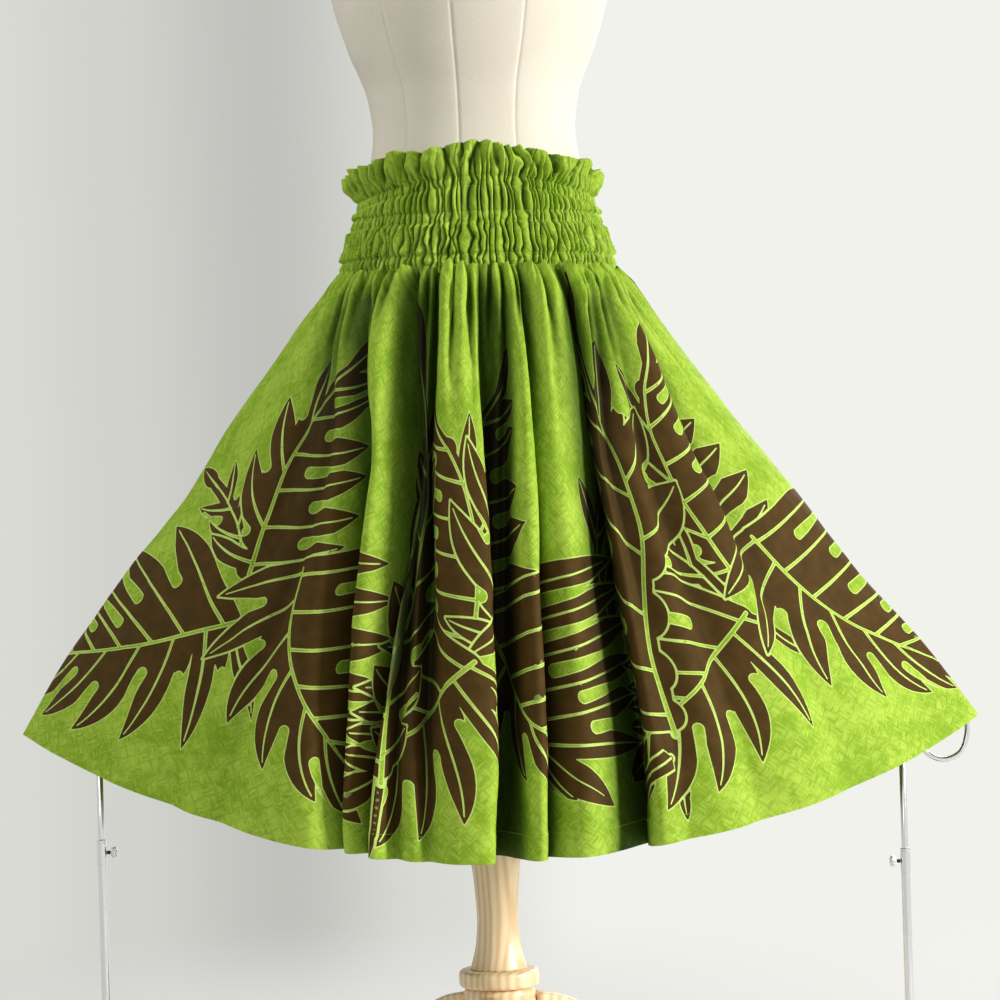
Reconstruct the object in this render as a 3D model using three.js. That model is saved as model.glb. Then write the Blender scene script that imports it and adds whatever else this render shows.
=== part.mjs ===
// A hula pau skirt worn by a limbless dress form, with its hem spread by two slim hook stands.
//
// Millimetres, +Z up, the floor at z = 0, the form's upright axis at x = y = 0, the skirt's front to -Y.
//
// The skirt is one tube of cotton, cut as a front and a back width. Its top is turned in and stitched into
// three elastic channels with two puffed bands between them, and its edge stands up above them as a ruffle.
// Below the channels the gathers open into folds that run down to a hem about a metre wide. Each piece of
// cloth here is a thin closed wall between an outer and an inner grid of points.
import * as THREE from "three";

// ---- driving dimensions ----------------------------------------------------------------------------------
const CLOTH = 1.5; // wall of the gathered skirt, a fold's two faces of cotton included
const SEAM_GAP = 0.3; // clear distance between pieces that are sewn together or touch
const REST_GAP = 0.4; // clear distance between the elastic channels and the form they grip

const RING_COLUMNS = 48; // points round the form and round each band of the casing
const GATHER = 1.3; // half height of the gathers on the elastic channels
const PUFF_GATHER = 1.9; // half height of the gathers on the puffed bands

const SKIRT = {
  topZ: 935.7, // where the gathers leave the lowest channel
  frontHemZ: 335, // the hem at the centre front and the centre back
  midShare: 0.4, // the share of the drop at which the fold tables give their middle values
};

// The hem at each side seam, held up by a hook. power: how late the hem climbs on its way to that seam.
const HEM_CORNERS = {
  left: { z: 460, power: 1.7 },
  right: { z: 451, power: 2.4 },
};

// The skirt's sections, by share of the drop: half width to the left and right seam, half depth in front and
// behind, and corner, which is 1 for an ellipse in plan and more where the side seams are sharper.
const SECTIONS = [
  { share: 0, left: 150, right: 150, depth: 119, corner: 1 },
  { share: 0.04, left: 164, right: 167, depth: 128, corner: 1.03 },
  { share: 0.1, left: 188, right: 186, depth: 141, corner: 1.07 },
  { share: 0.2, left: 222, right: 219, depth: 160, corner: 1.14 },
  { share: 0.33, left: 265, right: 263, depth: 184, corner: 1.23 },
  { share: 0.5, left: 320, right: 330, depth: 210, corner: 1.35 },
  { share: 0.67, left: 388, right: 389, depth: 230, corner: 1.47 },
  { share: 0.84, left: 451, right: 460, depth: 244, corner: 1.6 },
  { share: 1, left: 497, right: 516, depth: 250, corner: 1.7 },
];

// The folds are valleys between rounded ridges, read from the left side seam to the right one as seen from
// outside. across: the valley's place, as a share of the half width there. depth and half: its depth and
// half width in mm. Each has a value at the waist, at midShare and at the hem. lean: how far the bottom
// slides sideways for each mm of depth, which tucks it under one of its ridges.
const FRONT_FOLDS = [
  { across: [-0.93, -0.7, -0.66], depth: [6, 13, 10], half: [6, 16, 40], lean: 0 },
  { across: [-0.84, -0.58, -0.545], depth: [6, 12, 8], half: [5, 14, 32], lean: 0 },
  { across: [-0.74, -0.41, -0.29], depth: [9, 34, 22], half: [5, 11, 7], lean: -0.5 },
  { across: [-0.54, -0.274, -0.255], depth: [8, 22, 20], half: [4, 7, 6], lean: 0 },
  { across: [-0.42, -0.215, -0.2], depth: [9, 30, 14], half: [4, 7, 13], lean: 0 },
  { across: [-0.29, -0.155, -0.125], depth: [10, 34, 10], half: [5, 8, 14], lean: 0 },
  { across: [0.04, 0.04, 0.039], depth: [8, 26, 84], half: [4, 6, 11], lean: -0.25 },
  { across: [0.21, 0.098, 0.08], depth: [8, 20, 9], half: [4, 6, 6], lean: 0 },
  { across: [0.37, 0.189, 0.131], depth: [9, 28, 32], half: [4, 8, 10], lean: -0.35 },
  { across: [0.6, 0.325, 0.25], depth: [10, 54, 84], half: [5, 11, 20], lean: 0.15 },
  { across: [0.735, 0.48, 0.385], depth: [7, 16, 9], half: [4, 14, 34], lean: 0 },
  { across: [0.83, 0.61, 0.53], depth: [6, 12, 7], half: [4, 14, 38], lean: 0 },
  { across: [0.92, 0.8, 0.71], depth: [6, 16, 4], half: [4, 13, 34], lean: 0 },
];
const BACK_FOLDS = [
  { across: [-0.86, -0.63, -0.6], depth: [6, 14, 10], half: [5, 16, 38], lean: 0 },
  { across: [-0.66, -0.42, -0.36], depth: [8, 32, 26], half: [5, 10, 13], lean: 0.3 },
  { across: [-0.46, -0.27, -0.22], depth: [8, 28, 44], half: [5, 9, 13], lean: 0 },
  { across: [-0.24, -0.12, -0.08], depth: [9, 34, 60], half: [5, 9, 14], lean: 0.15 },
  { across: [-0.02, 0.01, 0.03], depth: [8, 24, 20], half: [4, 8, 12], lean: 0 },
  { across: [0.2, 0.14, 0.15], depth: [9, 36, 64], half: [5, 9, 14], lean: -0.15 },
  { across: [0.42, 0.27, 0.26], depth: [8, 28, 34], half: [5, 9, 13], lean: 0 },
  { across: [0.63, 0.42, 0.38], depth: [8, 32, 24], half: [5, 10, 15], lean: -0.3 },
  { across: [0.84, 0.64, 0.6], depth: [6, 14, 9], half: [5, 16, 38], lean: 0 },
];
const FOLD_STATIONS = [-1.25, -0.6, 0, 0.6, 1.25]; // the columns across one valley, in half widths
const COLUMN_ROOM = 0.45; // the share of the way to its neighbour that a valley's columns may take
const TURN_STEP = 1e-3; // the step used to find which way the outline runs

// The edges between the bands of the casing, from the skirt up. z is at the side seams; rise is how much
// higher the centre front and back stand; outer is the half width outside the gathers.
const CASING_EDGES = [
  { z: 936, outer: 148, rise: 0 },
  { z: 948, outer: 145, rise: 0 },
  { z: 980, outer: 136, rise: 0 },
  { z: 992, outer: 132, rise: 0 },
  { z: 1000, outer: 128, rise: 17 },
  { z: 1011, outer: 126, rise: 18 },
];
// The bands themselves, between one edge and the next; bulge is what a puff's middle adds.
const CASING_BANDS = [
  { name: "elastic_channel_3", bulge: 0 },
  { name: "waist_puff_2", bulge: 1.5 },
  { name: "elastic_channel_2", bulge: 0 },
  { name: "waist_puff_1", bulge: 1.5 },
  { name: "elastic_channel_1", bulge: 0 },
];
const RUFFLE = {
  low: CASING_EDGES.at(-1),
  high: { z: 1037, outer: 131, rise: 22 },
  wall: 2,
  flute: 4.5, // half height of the ruffle's flutes at its free edge
};

// The linen-covered form, by level: half width, and half depth in front and behind.
const FORM = [
  { z: 792, width: 138, front: 90, back: 94 },
  { z: 800, width: 146, front: 98, back: 102 },
  { z: 850, width: 149, front: 102, back: 107 },
  { z: 900, width: 146, front: 103, back: 106 },
  { z: 936, width: 141, front: 102, back: 103 },
  { z: 948, width: 138.5, front: 101, back: 101 },
  { z: 980, width: 130, front: 96, back: 95 },
  { z: 992, width: 127, front: 94, back: 92 },
  { z: 1000, width: 124.5, front: 92.5, back: 90.5 },
  { z: 1011, width: 121.5, front: 90, back: 88 },
  { z: 1040, width: 113, front: 85, back: 83 },
  { z: 1085, width: 107, front: 81, back: 79 },
  { z: 1120, width: 111.5, front: 85, back: 82 },
  { z: 1172, width: 131, front: 103, back: 92 },
  { z: 1223, width: 146, front: 123, back: 100 },
  { z: 1265, width: 153, front: 130, back: 105 },
  { z: 1310, width: 156, front: 122, back: 108 },
  { z: 1350, width: 165, front: 106, back: 105 },
  { z: 1380, width: 174, front: 90, back: 97 },
  { z: 1400, width: 168, front: 78, back: 86 },
  { z: 1416, width: 138, front: 68, back: 75 },
  { z: 1430, width: 98, front: 61, back: 65 },
  { z: 1443, width: 70, front: 56, back: 58 },
  { z: 1456, width: 59, front: 53, back: 54 },
  { z: 1484, width: 54, front: 51, back: 51 },
];
// The turned cap on the neck, by height above the neck and radius.
const NECK_CAP = [
  [0, 43],
  [5, 48],
  [11, 43],
  [16, 11],
  [29, 15.5],
  [42, 6.5],
];

// The turned post under the form, by height and radius, and the tripod that it stands on.
const POST = [
  [791.7, 30],
  [760, 30],
  [748, 22],
  [560, 22],
  [546, 33],
  [530, 33],
  [518, 25],
  [470, 29],
  [400, 32.5],
  [335, 29.5],
  [290, 24],
  [250, 21.7],
  [225, 23.5],
  [197.3, 30],
];
const COLLAR = { low: 178.3, high: 197, radius: 42.5, bead: 5 };
const HUB = { low: 92, high: 178, radius: 38, bead: 6 };
const LEGS = { count: 3, firstAngle: -101, thick: 30 };
// One leg's side, by distance out from the hub and height: its two starts, and the curves that leave them.
// Each curve heads for its bend and ends at out and z.
const LEG_TOP = {
  start: [0, 170],
  curves: [
    { bend: [55, 168], out: 92, z: 116 },
    { bend: [150, 40], out: 210, z: 28 },
    { bend: [220, 22], out: 220, z: 0 },
  ],
};
const LEG_UNDERSIDE = {
  start: [180, 0],
  curves: [
    { bend: [120, 14], out: 62, z: 100 },
    { bend: [40, 110], out: 0, z: 104 },
  ],
};

// The two hook stands, right and left. x: the upright. sleeveZ: top of the outer tube. tipZ: the hook's tip.
const STANDS = [
  { name: "right", side: 1, x: 434, sleeveZ: 312, bendZ: 404, hookX: 478, tipZ: 460.6 },
  { name: "left", side: -1, x: 417, sleeveZ: 346, bendZ: 438, hookX: 453, tipZ: 482 },
];
// The thumb screw, by distance out from the sleeve and radius: a thin neck, then a rounded grip.
const SCREW = [
  [0, 2],
  [4, 2],
  [4, 4.5],
  [6, 6],
  [9, 6],
  [11, 4.5],
];
const STAND = {
  baseRadius: 105,
  baseHigh: 9,
  baseEdge: 3,
  sleeveRadius: 5.2,
  rodRadius: 3.6,
  wireRadius: 2.8,
  knobDrop: 14, // how far the thumb screw sits below the sleeve's mouth
  hookRadius: 25, // the J at the end of the wire
  crookRadius: 11, // how far the tight turn stands over the top of the upright
  crookRise: 30, // from the J's middle up to the tight turn
  rodOverlap: 14, // how far down the upright the hook's own wire begins
};

// ---- small helpers ---------------------------------------------------------------------------------------
const lerp = (a, b, t) => a + (b - a) * t;

/** A value of a fold at a share of the drop, through its waist, middle and hem values. */
function alongFold([waist, middle, hem], share) {
  const m = SKIRT.midShare;
  return share < m ? lerp(waist, middle, share / m) : lerp(middle, hem, (share - m) / (1 - m));
}

/** One row of the form's table at any height, by straight lines between the rows. */
function formAt(z) {
  const i = Math.max(1, FORM.findIndex((row) => row.z >= z));
  const [below, above] = [FORM[i - 1], FORM[i]];
  const t = (z - below.z) / (above.z - below.z);
  return {
    width: lerp(below.width, above.width, t),
    front: lerp(below.front, above.front, t),
    back: lerp(below.back, above.back, t),
  };
}

/** A point on an upright oval that has its own depth in front (-Y) and behind (+Y). */
function ovalPoint(angle, width, front, back, z) {
  const depth = Math.sin(angle) < 0 ? front : back;
  return new THREE.Vector3(width * Math.cos(angle), depth * Math.sin(angle), z);
}

/** A BufferGeometry from a list of points and a list of triangles. */
function solidFrom(points, triangles) {
  const geometry = new THREE.BufferGeometry();
  geometry.setAttribute("position", new THREE.Float32BufferAttribute(points.flatMap((p) => p.toArray()), 3));
  geometry.setIndex(triangles.flat());
  geometry.computeVertexNormals();
  return geometry;
}

/** Two triangles for the four-sided patch a-b-c-d. */
const patch = (a, b, c, d) => [
  [a, b, c],
  [a, c, d],
];

/**
 * A closed wall between two grids of the same shape, outer[level][column] and inner[level][column].
 * Levels run upwards and columns run left to right seen from outside. A ring joins its last column to
 * its first.
 */
function wall(outer, inner, ring) {
  const levels = outer.length;
  const columns = outer[0].length;
  const half = levels * columns;
  const o = (i, j) => i * columns + (j % columns);
  const n = (i, j) => half + o(i, j);
  const spans = ring ? columns : columns - 1;
  const faces = [];
  for (let i = 0; i < levels - 1; i++)
    for (let j = 0; j < spans; j++) {
      faces.push(...patch(o(i, j), o(i, j + 1), o(i + 1, j + 1), o(i + 1, j)));
      faces.push(...patch(n(i, j), n(i + 1, j), n(i + 1, j + 1), n(i, j + 1)));
    }
  const top = levels - 1;
  for (let j = 0; j < spans; j++) {
    faces.push(...patch(o(top, j), o(top, j + 1), n(top, j + 1), n(top, j)));
    faces.push(...patch(o(0, j), n(0, j), n(0, j + 1), o(0, j + 1)));
  }
  if (!ring)
    for (let i = 0; i < top; i++) {
      faces.push(...patch(o(i, 0), o(i + 1, 0), n(i + 1, 0), n(i, 0)));
      faces.push(...patch(o(i, spans), n(i, spans), n(i + 1, spans), o(i + 1, spans)));
    }
  return solidFrom([...outer.flat(), ...inner.flat()], faces);
}

/** A solid of stacked closed rings, with a flat fan over its first and its last ring. */
function stack(rings) {
  const columns = rings[0].length;
  const at = (i, j) => i * columns + (j % columns);
  const faces = [];
  for (let i = 0; i < rings.length - 1; i++)
    for (let j = 0; j < columns; j++) {
      faces.push(...patch(at(i, j), at(i, j + 1), at(i + 1, j + 1), at(i + 1, j)));
    }
  const middle = (ring) => ring.reduce((sum, p) => sum.add(p), new THREE.Vector3()).divideScalar(ring.length);
  const [foot, head] = [columns * rings.length, columns * rings.length + 1];
  for (let j = 0; j < columns; j++) {
    faces.push([foot, at(0, j + 1), at(0, j)]);
    faces.push([head, at(rings.length - 1, j), at(rings.length - 1, j + 1)]);
  }
  return solidFrom([...rings.flat(), middle(rings[0]), middle(rings.at(-1))], faces);
}

/** A turned solid about the upright axis, from [z, radius] pairs read downwards or upwards. */
function turned(profile, segments = 28) {
  const rising = profile[0][0] < profile.at(-1)[0] ? profile : [...profile].reverse();
  const points = rising.map(([z, r]) => new THREE.Vector2(r, z));
  const closed = [new THREE.Vector2(0, points[0].y), ...points, new THREE.Vector2(0, points.at(-1).y)];
  return new THREE.LatheGeometry(closed, segments).rotateX(Math.PI / 2);
}

/** Profile points of a flat disc with rounded or chamfered rims, for turned(). */
function disc(low, high, radius, rim) {
  return [
    [low, radius - rim],
    [low + rim, radius],
    [high - rim, radius],
    [high, radius - rim],
  ];
}

/** A round bar along a curve, with flat ends. */
function bar(curve, radius, steps) {
  const section = new THREE.Shape();
  section.absarc(0, 0, radius, 0, 2 * Math.PI, false);
  const settings = { steps, curveSegments: 5, extrudePath: curve, bevelEnabled: false };
  return new THREE.ExtrudeGeometry(section, settings);
}

// ---- materials -------------------------------------------------------------------------------------------
const MATERIALS = {
  cotton: new THREE.MeshStandardMaterial({ color: 0x93bf33, roughness: 0.85, metalness: 0 }),
  linen: new THREE.MeshStandardMaterial({ color: 0xd9cfba, roughness: 0.9, metalness: 0 }),
  wood: new THREE.MeshStandardMaterial({ color: 0xd9b483, roughness: 0.45, metalness: 0 }),
  chrome: new THREE.MeshStandardMaterial({ color: 0xd8dadc, roughness: 0.12, metalness: 1 }),
  clearPlastic: new THREE.MeshStandardMaterial({ color: 0xeceae4, roughness: 0.3, metalness: 0 }),
};

const part = new THREE.Group();
function add(name, geometry, material) {
  const mesh = new THREE.Mesh(geometry, material);
  mesh.name = name;
  part.add(mesh);
  return mesh;
}

// ---- the skirt's front and back --------------------------------------------------------------------------

/**
 * The smooth outside of one side of the skirt, before its folds. turn runs from 0 at the left seam to 1 at the
 * right one as seen from outside. The back is built as a front too, with left and right changed over.
 */
function skirtOutline(turn, section, isBack) {
  const [c, s] = [Math.cos(Math.PI * turn), Math.max(0, Math.sin(Math.PI * turn))];
  const [near, far] = isBack ? ["right", "left"] : ["left", "right"];
  const rightward = (1 - c) / 2;
  const width = lerp(section[near], section[far], rightward);
  const [nearHem, farHem] = [HEM_CORNERS[near], HEM_CORNERS[far]];
  const rise = Math.abs(c) ** lerp(nearHem.power, farHem.power, rightward);
  const hemZ = lerp(SKIRT.frontHemZ, lerp(nearHem.z, farHem.z, rightward), rise);
  const z = lerp(SKIRT.topZ, hemZ, section.share);
  return new THREE.Vector3(-width * c, -section.depth * s ** section.corner, z);
}

/** The outline's points a small step before and after a turn, and the step between them. */
function around(turn, section, isBack) {
  const [from, to] = [Math.max(0, turn - TURN_STEP), Math.min(1, turn + TURN_STEP)];
  const points = { from: skirtOutline(from, section, isBack), to: skirtOutline(to, section, isBack) };
  return { ...points, step: to - from };
}

/** How far the outline runs in plan, in mm, for one whole turn at the pace it has there. */
function pace(turn, section, isBack) {
  const { from, to, step } = around(turn, section, isBack);
  return Math.hypot(to.x - from.x, to.y - from.y) / step;
}

/** Where a fold's valley runs at one section, and its half width there, both as turns. */
function valleyAt(fold, section, isBack) {
  const centre = Math.acos(-alongFold(fold.across, section.share)) / Math.PI;
  return { centre, half: alongFold(fold.half, section.share) / pace(centre, section, isBack) };
}

/** A point of the folded cloth at a turn and a section. */
function foldedPoint(turn, section, folds, isBack) {
  const point = skirtOutline(turn, section, isBack);
  const { from, to } = around(turn, section, isBack);
  const along = to.sub(from).setZ(0).normalize();
  const inward = new THREE.Vector3(-along.y, along.x, 0);
  for (const fold of folds) {
    const { centre, half } = valleyAt(fold, section, isBack);
    const sink = alongFold(fold.depth, section.share) * Math.exp(-(((turn - centre) / half) ** 2));
    point.addScaledVector(inward, sink).addScaledVector(along, fold.lean * sink);
  }
  return point;
}

/** The turns of a panel's columns at a section: both seams, five across each valley, one between valleys. */
function columnTurns(folds, section, isBack) {
  const valleys = folds.map((fold) => valleyAt(fold, section, isBack));
  const turns = [0];
  valleys.forEach(({ centre, half }, i) => {
    const before = i > 0 ? valleys[i - 1].centre : -centre;
    const after = i + 1 < valleys.length ? valleys[i + 1].centre : 1;
    const room = COLUMN_ROOM * Math.min(centre - before, after - centre);
    const reach = Math.min(half, room / FOLD_STATIONS.at(-1));
    const stations = FOLD_STATIONS.map((station) => centre + station * reach);
    turns.push((turns.at(-1) + stations[0]) / 2, ...stations);
  });
  turns.push((turns.at(-1) + 1) / 2, 1);
  return turns;
}

/** The grid moved inwards by the cloth's thickness, square to the surface. */
function movedIn(grid, distance) {
  return grid.map((row, i) =>
    row.map((point, j) => {
      const up = grid[Math.min(i + 1, grid.length - 1)][j].clone().sub(grid[Math.max(i - 1, 0)][j]);
      const along = row[Math.min(j + 1, row.length - 1)].clone().sub(row[Math.max(j - 1, 0)]);
      return point.clone().addScaledVector(up.cross(along).normalize(), distance);
    }),
  );
}

/** One width of the skirt; the back is built like the front and turned half round. */
function skirtPanel(folds, isBack) {
  const rising = [...SECTIONS].reverse();
  const outer = rising.map((section) =>
    columnTurns(folds, section, isBack).map((turn) => foldedPoint(turn, section, folds, isBack)),
  );
  const inner = movedIn(outer, CLOTH);
  for (const row of [...outer, ...inner]) {
    for (const seam of [row[0], row.at(-1)]) seam.y = -SEAM_GAP / 2;
  }
  const panel = wall(outer, inner, false);
  return isBack ? panel.rotateZ(Math.PI) : panel;
}

add("skirt_front", skirtPanel(FRONT_FOLDS, false), MATERIALS.cotton);
add("skirt_back", skirtPanel(BACK_FOLDS, true), MATERIALS.cotton);

// ---- the gathered casing and its ruffle ------------------------------------------------------------------

/** Points of one level of a band, round the form: inside on the form, outside with alternating gathers. */
function bandLevel({ z, outer, rise }, gather, widen = 0) {
  const inside = [];
  const outside = [];
  for (let j = 0; j < RING_COLUMNS; j++) {
    const angle = (2 * Math.PI * j) / RING_COLUMNS;
    const height = z + rise * Math.sin(angle) ** 2;
    const form = formAt(height);
    const spread = outer + widen - form.width + (j % 2 ? -gather : gather);
    const here = [form.width, form.front, form.back];
    inside.push(ovalPoint(angle, ...here.map((v) => v + REST_GAP), height));
    outside.push(ovalPoint(angle, ...here.map((v) => v + spread), height));
  }
  return { inside, outside };
}

/** An edge part of the way from one edge of a band to the other. */
function edgeBetween(low, high, share) {
  return {
    z: lerp(low.z, high.z, share),
    outer: lerp(low.outer, high.outer, share),
    rise: lerp(low.rise, high.rise, share),
  };
}

/** A band of the casing, gripping the form inside and gathered outside. */
function casingBand(low, high, bulge) {
  const bottom = bandLevel({ ...low, z: low.z + SEAM_GAP / 2 }, GATHER);
  const middle = bandLevel(edgeBetween(low, high, 0.5), bulge ? PUFF_GATHER : GATHER, bulge);
  const top = bandLevel({ ...high, z: high.z - SEAM_GAP / 2 }, GATHER);
  const levels = [bottom, middle, top];
  return wall(levels.map((level) => level.outside), levels.map((level) => level.inside), true);
}

CASING_BANDS.forEach(({ name, bulge }, i) => {
  add(name, casingBand(CASING_EDGES[i], CASING_EDGES[i + 1], bulge), MATERIALS.cotton);
});

/** A point moved straight towards the form's axis. */
function movedToAxis(point, distance) {
  const radius = Math.hypot(point.x, point.y);
  const keep = (radius - distance) / radius;
  return new THREE.Vector3(point.x * keep, point.y * keep, point.z);
}

/** The ruffle above the top channel: its flutes grow towards the free edge. */
function ruffle() {
  const foot = { ...RUFFLE.low, z: RUFFLE.low.z + SEAM_GAP / 2 };
  const levels = [0, 0.4, 1].map((share) =>
    bandLevel(edgeBetween(foot, RUFFLE.high, share), lerp(GATHER, RUFFLE.flute, share)),
  );
  const outside = levels.map((level) => level.outside);
  const inside = outside.map((row) => row.map((point) => movedToAxis(point, RUFFLE.wall)));
  inside[0] = levels[0].inside;
  return wall(outside, inside, true);
}
add("ruffle_header", ruffle(), MATERIALS.cotton);

// ---- the dress form, its post and its tripod -------------------------------------------------------------
const formRings = FORM.map(({ z, width, front, back }) =>
  Array.from({ length: RING_COLUMNS }, (_, j) =>
    ovalPoint((2 * Math.PI * j) / RING_COLUMNS, width, front, back, z),
  ),
);
add("form_torso", stack(formRings), MATERIALS.linen);

const capLow = FORM.at(-1).z + SEAM_GAP;
add("neck_cap", turned(NECK_CAP.map(([rise, radius]) => [capLow + rise, radius])), MATERIALS.wood);
add("stand_post", turned(POST), MATERIALS.wood);
add("post_collar", turned(disc(COLLAR.low, COLLAR.high, COLLAR.radius, COLLAR.bead)), MATERIALS.wood);
add("tripod_hub", turned(disc(HUB.low, HUB.high - SEAM_GAP, HUB.radius, HUB.bead)), MATERIALS.wood);

/** The side of one leg: out of the hub near its top, down in a long bow, and out to a level foot. */
function legOutline() {
  const hubFace = HUB.radius + SEAM_GAP;
  const shape = new THREE.Shape();
  const follow = (curves) => {
    for (const { bend, out, z } of curves) {
      shape.quadraticCurveTo(hubFace + bend[0], bend[1], hubFace + out, z);
    }
  };
  shape.moveTo(hubFace + LEG_TOP.start[0], LEG_TOP.start[1]);
  follow(LEG_TOP.curves);
  shape.lineTo(hubFace + LEG_UNDERSIDE.start[0], LEG_UNDERSIDE.start[1]);
  follow(LEG_UNDERSIDE.curves);
  shape.closePath();
  return shape;
}

for (let i = 0; i < LEGS.count; i++) {
  const settings = { depth: LEGS.thick, curveSegments: 8, bevelEnabled: false };
  const leg = new THREE.ExtrudeGeometry(legOutline(), settings);
  leg.translate(0, 0, -LEGS.thick / 2).rotateX(Math.PI / 2);
  leg.rotateZ(THREE.MathUtils.degToRad(LEGS.firstAngle + (360 / LEGS.count) * i));
  add(`tripod_leg_${i + 1}`, leg, MATERIALS.wood);
}

// ---- the two hook stands ---------------------------------------------------------------------------------

/** Points at the given degrees of an upright arc in the plane of the stands. */
function arcPoints(side, centreX, centreZ, radiusX, radiusZ, degrees) {
  return degrees.map(THREE.MathUtils.degToRad).map((angle) => {
    const x = centreX + radiusX * Math.cos(angle);
    return new THREE.Vector3(side * x, 0, centreZ + radiusZ * Math.sin(angle));
  });
}

/** The wire over the top of the upright, down, and up again in a J whose tip carries the hem. */
function hookCurve({ side, x, bendZ, hookX, tipZ }) {
  const { crookRadius, crookRise, hookRadius } = STAND;
  const bowlZ = bendZ + hookRadius;
  const crookZ = bowlZ + crookRise;
  const halfWay = (hookX - hookRadius - x) / 2;
  const points = [
    new THREE.Vector3(side * x, 0, crookZ - STAND.rodOverlap),
    ...arcPoints(side, x + halfWay, crookZ, halfWay, crookRadius, [180, 90, 0]),
    ...arcPoints(side, hookX, bowlZ, hookRadius, hookRadius, [180, 225, 270, 315, 360]),
    new THREE.Vector3(side * (hookX + hookRadius), 0, tipZ),
  ];
  return new THREE.CatmullRomCurve3(points, false, "centripetal");
}

/** One telescopic stand: a round base, an outer sleeve, a rod that slides in it, its screw and its hook. */
function hookStand(stand) {
  const { name, side, x, sleeveZ } = stand;
  const hook = hookCurve(stand);
  const place = (geometry) => geometry.translate(side * x, 0, 0);
  const base = turned(disc(0, STAND.baseHigh, STAND.baseRadius, STAND.baseEdge));
  const sleeve = turned([[STAND.baseHigh + SEAM_GAP, STAND.sleeveRadius], [sleeveZ, STAND.sleeveRadius]], 16);
  const rodEnd = hook.getPoint(0).z - SEAM_GAP;
  const rod = turned([[sleeveZ + SEAM_GAP, STAND.rodRadius], [rodEnd, STAND.rodRadius]], 12);
  add(`${name}_stand_base`, place(base), MATERIALS.chrome);
  add(`${name}_stand_sleeve`, place(sleeve), MATERIALS.chrome);
  add(`${name}_stand_rod`, place(rod), MATERIALS.chrome);
  add(`${name}_stand_hook`, bar(hook, STAND.wireRadius, 28), MATERIALS.chrome);
  const knob = turned(SCREW, 12).rotateY((-side * Math.PI) / 2);
  knob.translate(side * (x - STAND.sleeveRadius - SEAM_GAP), 0, sleeveZ - STAND.knobDrop);
  add(`${name}_stand_knob`, knob, MATERIALS.clearPlastic);
}
for (const stand of STANDS) hookStand(stand);

export default part;
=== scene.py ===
"""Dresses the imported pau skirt: printed cotton, shirred waist, linen form, turned wood and chrome stands.

Lengths are in millimetres, apart from the finishes' and the studio's, which are in metres.
"""

import logging
import math
from dataclasses import dataclass, field, replace
from enum import Enum, IntEnum
from typing import Callable, Optional, Sequence, Union

import bpy
import numpy as np
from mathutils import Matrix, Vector
from mathutils.geometry import delaunay_2d_cdt


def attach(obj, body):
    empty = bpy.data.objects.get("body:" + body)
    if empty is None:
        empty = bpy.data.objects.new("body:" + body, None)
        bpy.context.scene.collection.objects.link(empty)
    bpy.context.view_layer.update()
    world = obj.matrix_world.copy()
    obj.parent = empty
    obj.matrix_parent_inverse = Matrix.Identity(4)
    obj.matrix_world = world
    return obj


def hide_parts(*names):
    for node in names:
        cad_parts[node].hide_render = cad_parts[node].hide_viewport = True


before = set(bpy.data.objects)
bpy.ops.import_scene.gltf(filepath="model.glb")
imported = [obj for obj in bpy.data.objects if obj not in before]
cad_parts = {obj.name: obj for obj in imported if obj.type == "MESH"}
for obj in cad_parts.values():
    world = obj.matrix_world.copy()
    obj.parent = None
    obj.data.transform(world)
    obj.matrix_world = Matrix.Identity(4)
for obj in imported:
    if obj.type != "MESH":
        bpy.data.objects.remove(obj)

LOG = logging.getLogger("pau_skirt")
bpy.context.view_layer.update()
MM = 0.001
BODY = "root"
CUT_MAP = "flat_cut"
# The attribute that carries the painted shade at the bottom of folds and gathers.
PAINTED_TUCK_SHADE = "tuck"

Array = np.ndarray
Socket = bpy.types.NodeSocket
Material = bpy.types.Material
Piece = bpy.types.Object
Triple = tuple[float, float, float]
Colour = Triple
Pair = tuple[float, float]
Net = tuple[Array, list]


# ---- small tools ----


def smooth_curve(knots: Sequence[float], values: Sequence[float], at: Array) -> Array:
    """Follows values through knots on a smooth curve that never overshoots them.

    Args:
        knots: rising positions of the known values.
        values: the value at each knot.
        at: the positions wanted.

    Returns:
        The value at each wanted position.
    """
    x, y = np.asarray(knots, float), np.asarray(values, float)
    step = np.diff(x)
    rise = np.diff(y) / step
    slope = np.zeros_like(y)
    slope[0], slope[-1] = rise[0], rise[-1]
    left, right = 2 * step[1:] + step[:-1], step[1:] + 2 * step[:-1]
    same = rise[:-1] * rise[1:] > 0
    safe = [np.where(same, part, 1.0) for part in (rise[:-1], rise[1:])]
    slope[1:-1] = np.where(same, (left + right) / (left / safe[0] + right / safe[1]), 0.0)
    i = np.clip(np.searchsorted(x, at, side="right") - 1, 0, len(step) - 1)
    t = np.clip((np.asarray(at) - x[i]) / step[i], 0, 1)
    ahead = t * t * (3 - 2 * t)
    ease_in, ease_out = t * (1 - t) ** 2, -t * t * (1 - t)
    return y[i] * (1 - ahead) + y[i + 1] * ahead + step[i] * (ease_in * slope[i] + ease_out * slope[i + 1])


def smooth_step(low: float, high: float, value: Array) -> Array:
    """Rises smoothly from 0 at low to 1 at high."""
    t = np.clip((value - low) / (high - low), 0, 1)
    return t * t * (3 - 2 * t)


def unit(vectors: Array) -> Array:
    """Scales every vector of an array to length one."""
    return vectors / np.maximum(np.linalg.norm(vectors, axis=-1, keepdims=True), 1e-9)


def summed(steps: Array) -> Array:
    """Adds steps up, from nought on."""
    return np.concatenate([[0], np.cumsum(steps)])


def run_of(line: Array) -> Array:
    """Adds up the way along a line to each of its points."""
    return summed(np.linalg.norm(np.diff(line, axis=0), axis=1))


def full_turn(count: int) -> Array:
    """Spreads angles evenly over one full turn."""
    return np.linspace(0, 2 * math.pi, count, endpoint=False)


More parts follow.
